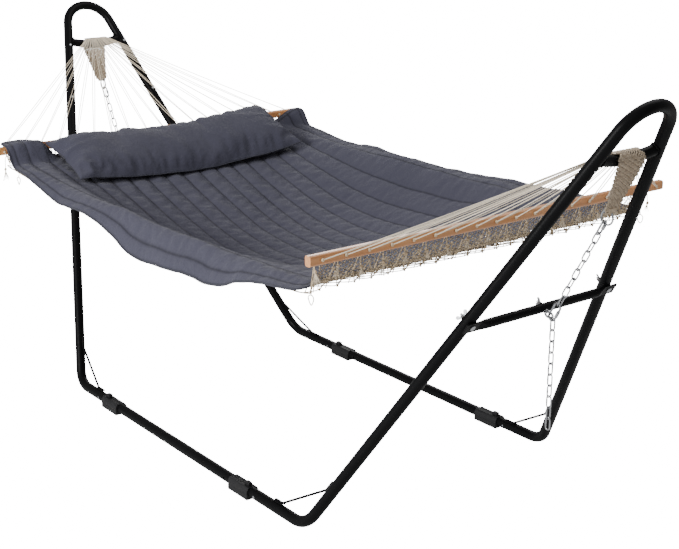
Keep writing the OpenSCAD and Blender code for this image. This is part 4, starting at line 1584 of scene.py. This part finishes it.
    def stitch(self) -> Object:
        """One stitch about the origin, lying along X, with sunk ends."""
        points, faces = [], []
        for x, width, z in ((-0.0028, 0.0002, -0.0008), (-0.0018, 0.0006, 0.0002), (0.0018, 0.0006, 0.0002),
                            (0.0028, 0.0002, -0.0008)):
            points += [(x, -width, z), (x, 0, z + width), (x, width, z), (x, 0, z - width)]
        for i in range(3):
            a, b = 4 * i, 4 * (i + 1)
            faces += [(a + k, a + (k + 1) % 4, b + (k + 1) % 4, b + k) for k in range(4)]
        faces += [(3, 2, 1, 0), (12, 13, 14, 15)]
        return mesh_object("stitch", np.array(points), [f[::-1] for f in faces], "thread")

    def binding(self, grid: np.ndarray, under: np.ndarray) -> Object:
        """The folded binding round the pad's edge.

        Args:
            grid: Points of the upper face.
            under: Points of the lower face.

        Returns:
            The binding, riding on the bed.
        """
        loop = outline(grid, under)
        keep = np.concatenate([[True], np.linalg.norm(np.diff(loop, axis=0), axis=1) > 1e-5])
        loop = loop[keep]
        bound = laid_cord("pad_binding", [np.concatenate([loop, loop[:1]])], "binding", 0.0032, lay=50.0,
                          step=0.010, lobes=5, hollow=1.0)
        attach(bound, "bed")
        return bound


@dataclass
class Pillow:
    """The long filled pillow on the pad's head end, and the two tapes that tie it to the bar.

    Attributes:
        half_w: Half its length across the bed.
        half_l: Half its depth along the bed.
        rise: Height of its top above its seam.
        belly: Depth of its underside below its seam.
    """

    half_w: float = 0.496
    half_l: float = 0.140
    x: float = -0.766
    y: float = -0.022
    rise: float = 0.060
    belly: float = 0.026
    columns: int = 110
    rows: int = 36

    def build(self) -> list[Object]:
        """Sew, fill and pipe the pillow.

        Returns:
            The pillow and its piping.
        """
        v, u = np.meshgrid(np.linspace(-1, 1, self.rows), np.linspace(-1, 1, self.columns), indexing="ij")
        reach = 1 - 0.05 * (1 - u**2) + 0.05 * np.abs(u) ** 8
        x = self.x + self.half_l * v * reach + 0.003 * ripple(u, v * 0, 5.0, 1.5)
        y = self.y + self.half_w * u * (1 - 0.035 * (1 - v**2))
        full = np.power(np.clip((1 - np.abs(u) ** 5) * (1 - np.abs(v) ** 2.3), 0, 1), 0.5)
        rest = BED.pad(x, np.clip(y, -0.46, 0.5)) + 0.0125
        right = 0.012 * np.abs(u) + 0.012 * smooth(u) + 0.018 * smooth((u - 0.3) / 0.7) * (1 - v) / 2
        back = 0.013 * (1 - v) * (1 - 0.5 * np.abs(u) ** 4)
        corners = 0.010 * (np.abs(u) ** 8) * (v < 0)
        seam = rest + 0.008 + back + right + corners
        rim = np.clip(np.maximum(np.abs(v), np.abs(u) ** 8), 0, 1) ** 2
        folds = 0.0045 * ripple(x * 0.6, y * 1.5, 21.0, 4.0) * rim + 0.0030 * ripple(x, y, 9.0, 7.0)
        ends = 0.006 * ripple(x * 2.2, y * 0.8, 14.0, 9.0) * np.abs(u) ** 6
        top = np.stack([x, y, seam + full * (self.rise + 3.2 * (folds + ends) * 0.6)], axis=2)
        bottom = np.stack([x, y, seam - full * (self.belly + right)], axis=2)
        edge = np.zeros(x.shape)
        edge[[0, -1], :] = edge[:, [0, -1]] = 1
        top[..., 2] += 0.0008
        bottom[..., 2] -= 0.0008
        raw = shell("pillow_shell", top, bottom, "pillow")
        Inflation(cap=0.010, shrink=-0.05, pressure=3.0).run(raw, np.concatenate([edge.ravel()] * 2))
        count = self.rows * self.columns
        points = coordinates(raw.data)
        floor = BED.pad(points[count:, 0], points[count:, 1]) + 0.0125
        points[count:, 2] = np.maximum(points[count:, 2], floor)
        raw.data.vertices.foreach_set("co", points.ravel())
        loop = outline(*points.reshape(2, self.rows, self.columns, 3))
        pillow = subdivided(raw, "pillow_cloth")
        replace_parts(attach(pillow, "pillow"), "pillow")
        piping = laid_cord("pillow_seam", [loop], "binding", 0.0016, lay=50.0, step=0.008, lobes=4,
                           hollow=1.0)
        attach(piping, "pillow")
        return [pillow, piping]

    def ties(self) -> list[Object]:
        """The tapes: a loop round the far bar each, and the tail that runs to the pillow.

        Returns:
            The loops on the bed and the tails between the bed and the pillow.
        """
        low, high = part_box("pillow_ties")
        middle_x, middle_z = (low.x + high.x) / 2, (low.z + high.z) / 2
        reach_x, reach_z = (high.x - low.x) / 2 - 0.0015, (high.z - low.z) / 2 - 0.0015
        loops, tails = [], []
        for y in (low.y + 0.007, high.y - 0.007):
            turn = np.linspace(0, 2 * math.pi, 41)
            ring = []
            for a in turn:
                c, s = math.cos(a), math.sin(a)
                ring.append((middle_x + reach_x * np.sign(c) * abs(c) ** 0.45, y,
                             middle_z + reach_z * np.sign(s) * abs(s) ** 0.45))
            loops.append(np.array(ring))
            back = self.x - self.half_l + 0.006
            end_z = height(BED.pad, back, y) + 0.045
            start = np.array([middle_x + reach_x * 0.6, y, middle_z + reach_z])
            run = np.array([back, y, end_z]) - start
            tail = [start + run * s + np.array([0, 0, -0.004 * math.sin(math.pi * s)])
                    for s in np.linspace(0, 1, 12)]
            tails.append(np.array(tail))
        loop = tape("pillow_tie_loops", loops, 0.014, 0.0016)
        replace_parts(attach(loop, "bed"), "pillow_ties")
        tail = tape("pillow_tie_tails", tails, 0.014, 0.0014)
        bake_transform(tail)
        return [loop, tail]


def tape(name: str, paths: list[np.ndarray], width: float, thick: float) -> Object:
    """Flat woven tapes, their width along Y.

    Args:
        name: The piece's name.
        paths: Middle lines in planes of constant y.
        width: Width of the tape.
        thick: Thickness of the tape.

    Returns:
        The tapes as one mesh.
    """
    points, faces = [], []
    for path in paths:
        closed = float(np.linalg.norm(path[0] - path[-1])) < 1e-6
        line = path[:-1] if closed else path
        base, count = len(points), len(line)
        for i, p in enumerate(line):
            before = line[i - 1] if closed or i else line[0]
            after = line[(i + 1) % count] if closed or i < count - 1 else line[-1]
            along = Vector(after - before).normalized()
            out = along.cross(Vector((0, 1, 0))).normalized()
            for across, lift in ((-1, -1), (-1, 1), (0, 1.25), (1, 1), (1, -1), (0, -1.25)):
                points.append(tuple(Vector(p) + Vector((0, across * width / 2, 0))
                                    + out * lift * thick / 2))
        for i in range(count if closed else count - 1):
            a, b = base + 6 * i, base + 6 * ((i + 1) % count)
            faces += [(a + k, b + k, b + (k + 1) % 6, a + (k + 1) % 6) for k in range(6)]
        if not closed:
            last = base + 6 * (count - 1)
            faces += [tuple(base + k for k in range(6)), tuple(last + k for k in range(5, -1, -1))]
    return mesh_object(name, np.array(points), faces, "binding")


# ---------------------------------------------------------------- studio


@dataclass
class Studio:
    """The camera, the pale floor and the soft lights.

    Attributes:
        eye: The camera's place.
        aim: The point that it looks at.
        lens: Its focal length on a 36 mm sensor.
        white: How bright the background looks to the camera.
        room: Strength of the light from all around.
    """

    eye: Point = (3.6463, -2.6372, 1.9462)
    aim: Point = (0.2398, 0.0, 0.6038)
    lens: float = 70.22
    white: float = 16.0
    room: float = 0.42

    def camera(self) -> None:
        """Place the camera."""
        data = bpy.data.cameras.new("camera")
        data.lens, data.sensor_width, data.clip_end = self.lens, 36.0, 200.0
        camera = bpy.data.objects.new("camera", data)
        bpy.context.scene.collection.objects.link(camera)
        camera.location = self.eye
        camera.rotation_euler = (Vector(self.aim) - Vector(self.eye)).to_track_quat("-Z", "Y").to_euler()
        bpy.context.scene.camera = camera

    def floor(self) -> None:
        """Lay the pale floor."""
        half = 40.0
        points = np.array([(-half, -half, 0), (half, -half, 0), (half, half, 0), (-half, half, 0)])
        floor = mesh_object("floor", points, [(0, 1, 2, 3)], "powder")
        material = bpy.data.materials.new("pale_floor")
        material.use_nodes = True
        graph = Graph(material.node_tree)
        shader = material.node_tree.nodes["Principled BSDF"]
        vector = graph.add("ShaderNodeTexCoord").outputs["Object"]
        tint = graph.mix(graph.noise(vector, 0.8, 4.0), (0.90, 0.90, 0.90, 1), (0.92, 0.92, 0.925, 1))
        graph.feed(shader, "Base Color", tint)
        shader.inputs["Roughness"].default_value = 0.75
        seen = graph.add("ShaderNodeLightPath").outputs["Is Camera Ray"]
        shader.inputs["Emission Color"].default_value = (1, 1, 1, 1)
        graph.feed(shader, "Emission Strength", graph.math("MULTIPLY", seen, self.white))
        floor.data.materials[0] = material

    def lights(self) -> None:
        """Hang the soft lights and set the room's light."""
        world = bpy.data.worlds.new("room")
        world.use_nodes = True
        graph = Graph(world.node_tree)
        around = world.node_tree.nodes["Background"]
        around.inputs["Color"].default_value = (1.0, 1.0, 1.0, 1)
        seen = graph.add("ShaderNodeLightPath").outputs["Is Camera Ray"]
        graph.feed(around, "Strength",
                   graph.math("ADD", graph.math("MULTIPLY", seen, self.white + 1.5), self.room))
        bpy.context.scene.world = world
        for name, place, aim, size, energy in (("key", (0.2, -4.9, 2.5), (0.1, 0, 0.7), 1.6, 330.0),
                                               ("top", (0.4, 1.6, 4.4), (0, 0, 0.6), 3.0, 80.0),
                                               ("rim", (-3.8, 3.0, 2.6), (0, 0, 0.8), 1.6, 50.0)):
            data = bpy.data.lights.new(name, "AREA")
            data.shape, data.size, data.energy = "SQUARE", size, energy
            lamp = bpy.data.objects.new(name, data)
            lamp.location = place
            lamp.rotation_euler = (Vector(aim) - Vector(place)).to_track_quat("-Z", "Y").to_euler()
            bpy.context.scene.collection.objects.link(lamp)

    def build(self) -> None:
        """Set up the whole studio."""
        self.camera()
        self.floor()
        self.lights()


# ---------------------------------------------------------------- order of work


def report(pieces: list[Object]) -> None:
    """Log each piece with its size in triangles.

    Args:
        pieces: The pieces just made.
    """
    for piece in pieces:
        LOG.info("%s: %d triangles", piece.name, sum(len(p.vertices) - 2 for p in piece.data.polygons))


def prepare() -> None:
    """Build the shared node groups, the finishes and the geometry trees."""
    GROUPS.update(mottle=mottle_group(), weave=weave_group(), scuffs=scuff_group())
    MATERIALS.update({key: finish.build() for key, finish in FINISHES.items()})
    TREES.update(cord=cord_tree(), scatter=scatter_tree())


def main() -> None:
    """Build every piece in order."""
    logging.basicConfig(level=logging.INFO, format="%(name)s: %(message)s")
    prepare()
    Studio().build()
    STAND.dress_nodes()
    report([STAND.welds()])
    chains, throat, ropes = Chains(), Throat(), ClewRopes()
    link = chains.link()
    for end in End:
        report([*chains.build(end, link), throat.build(end), ropes.build(end)])
    bpy.data.objects.remove(link, do_unlink=True)
    net = Net()
    report([*net.build(), net.corner_loops()])
    report(Quilt().build())
    pillow = Pillow()
    report([*pillow.build(), *pillow.ties()])


if __name__ == "__main__":
    main()
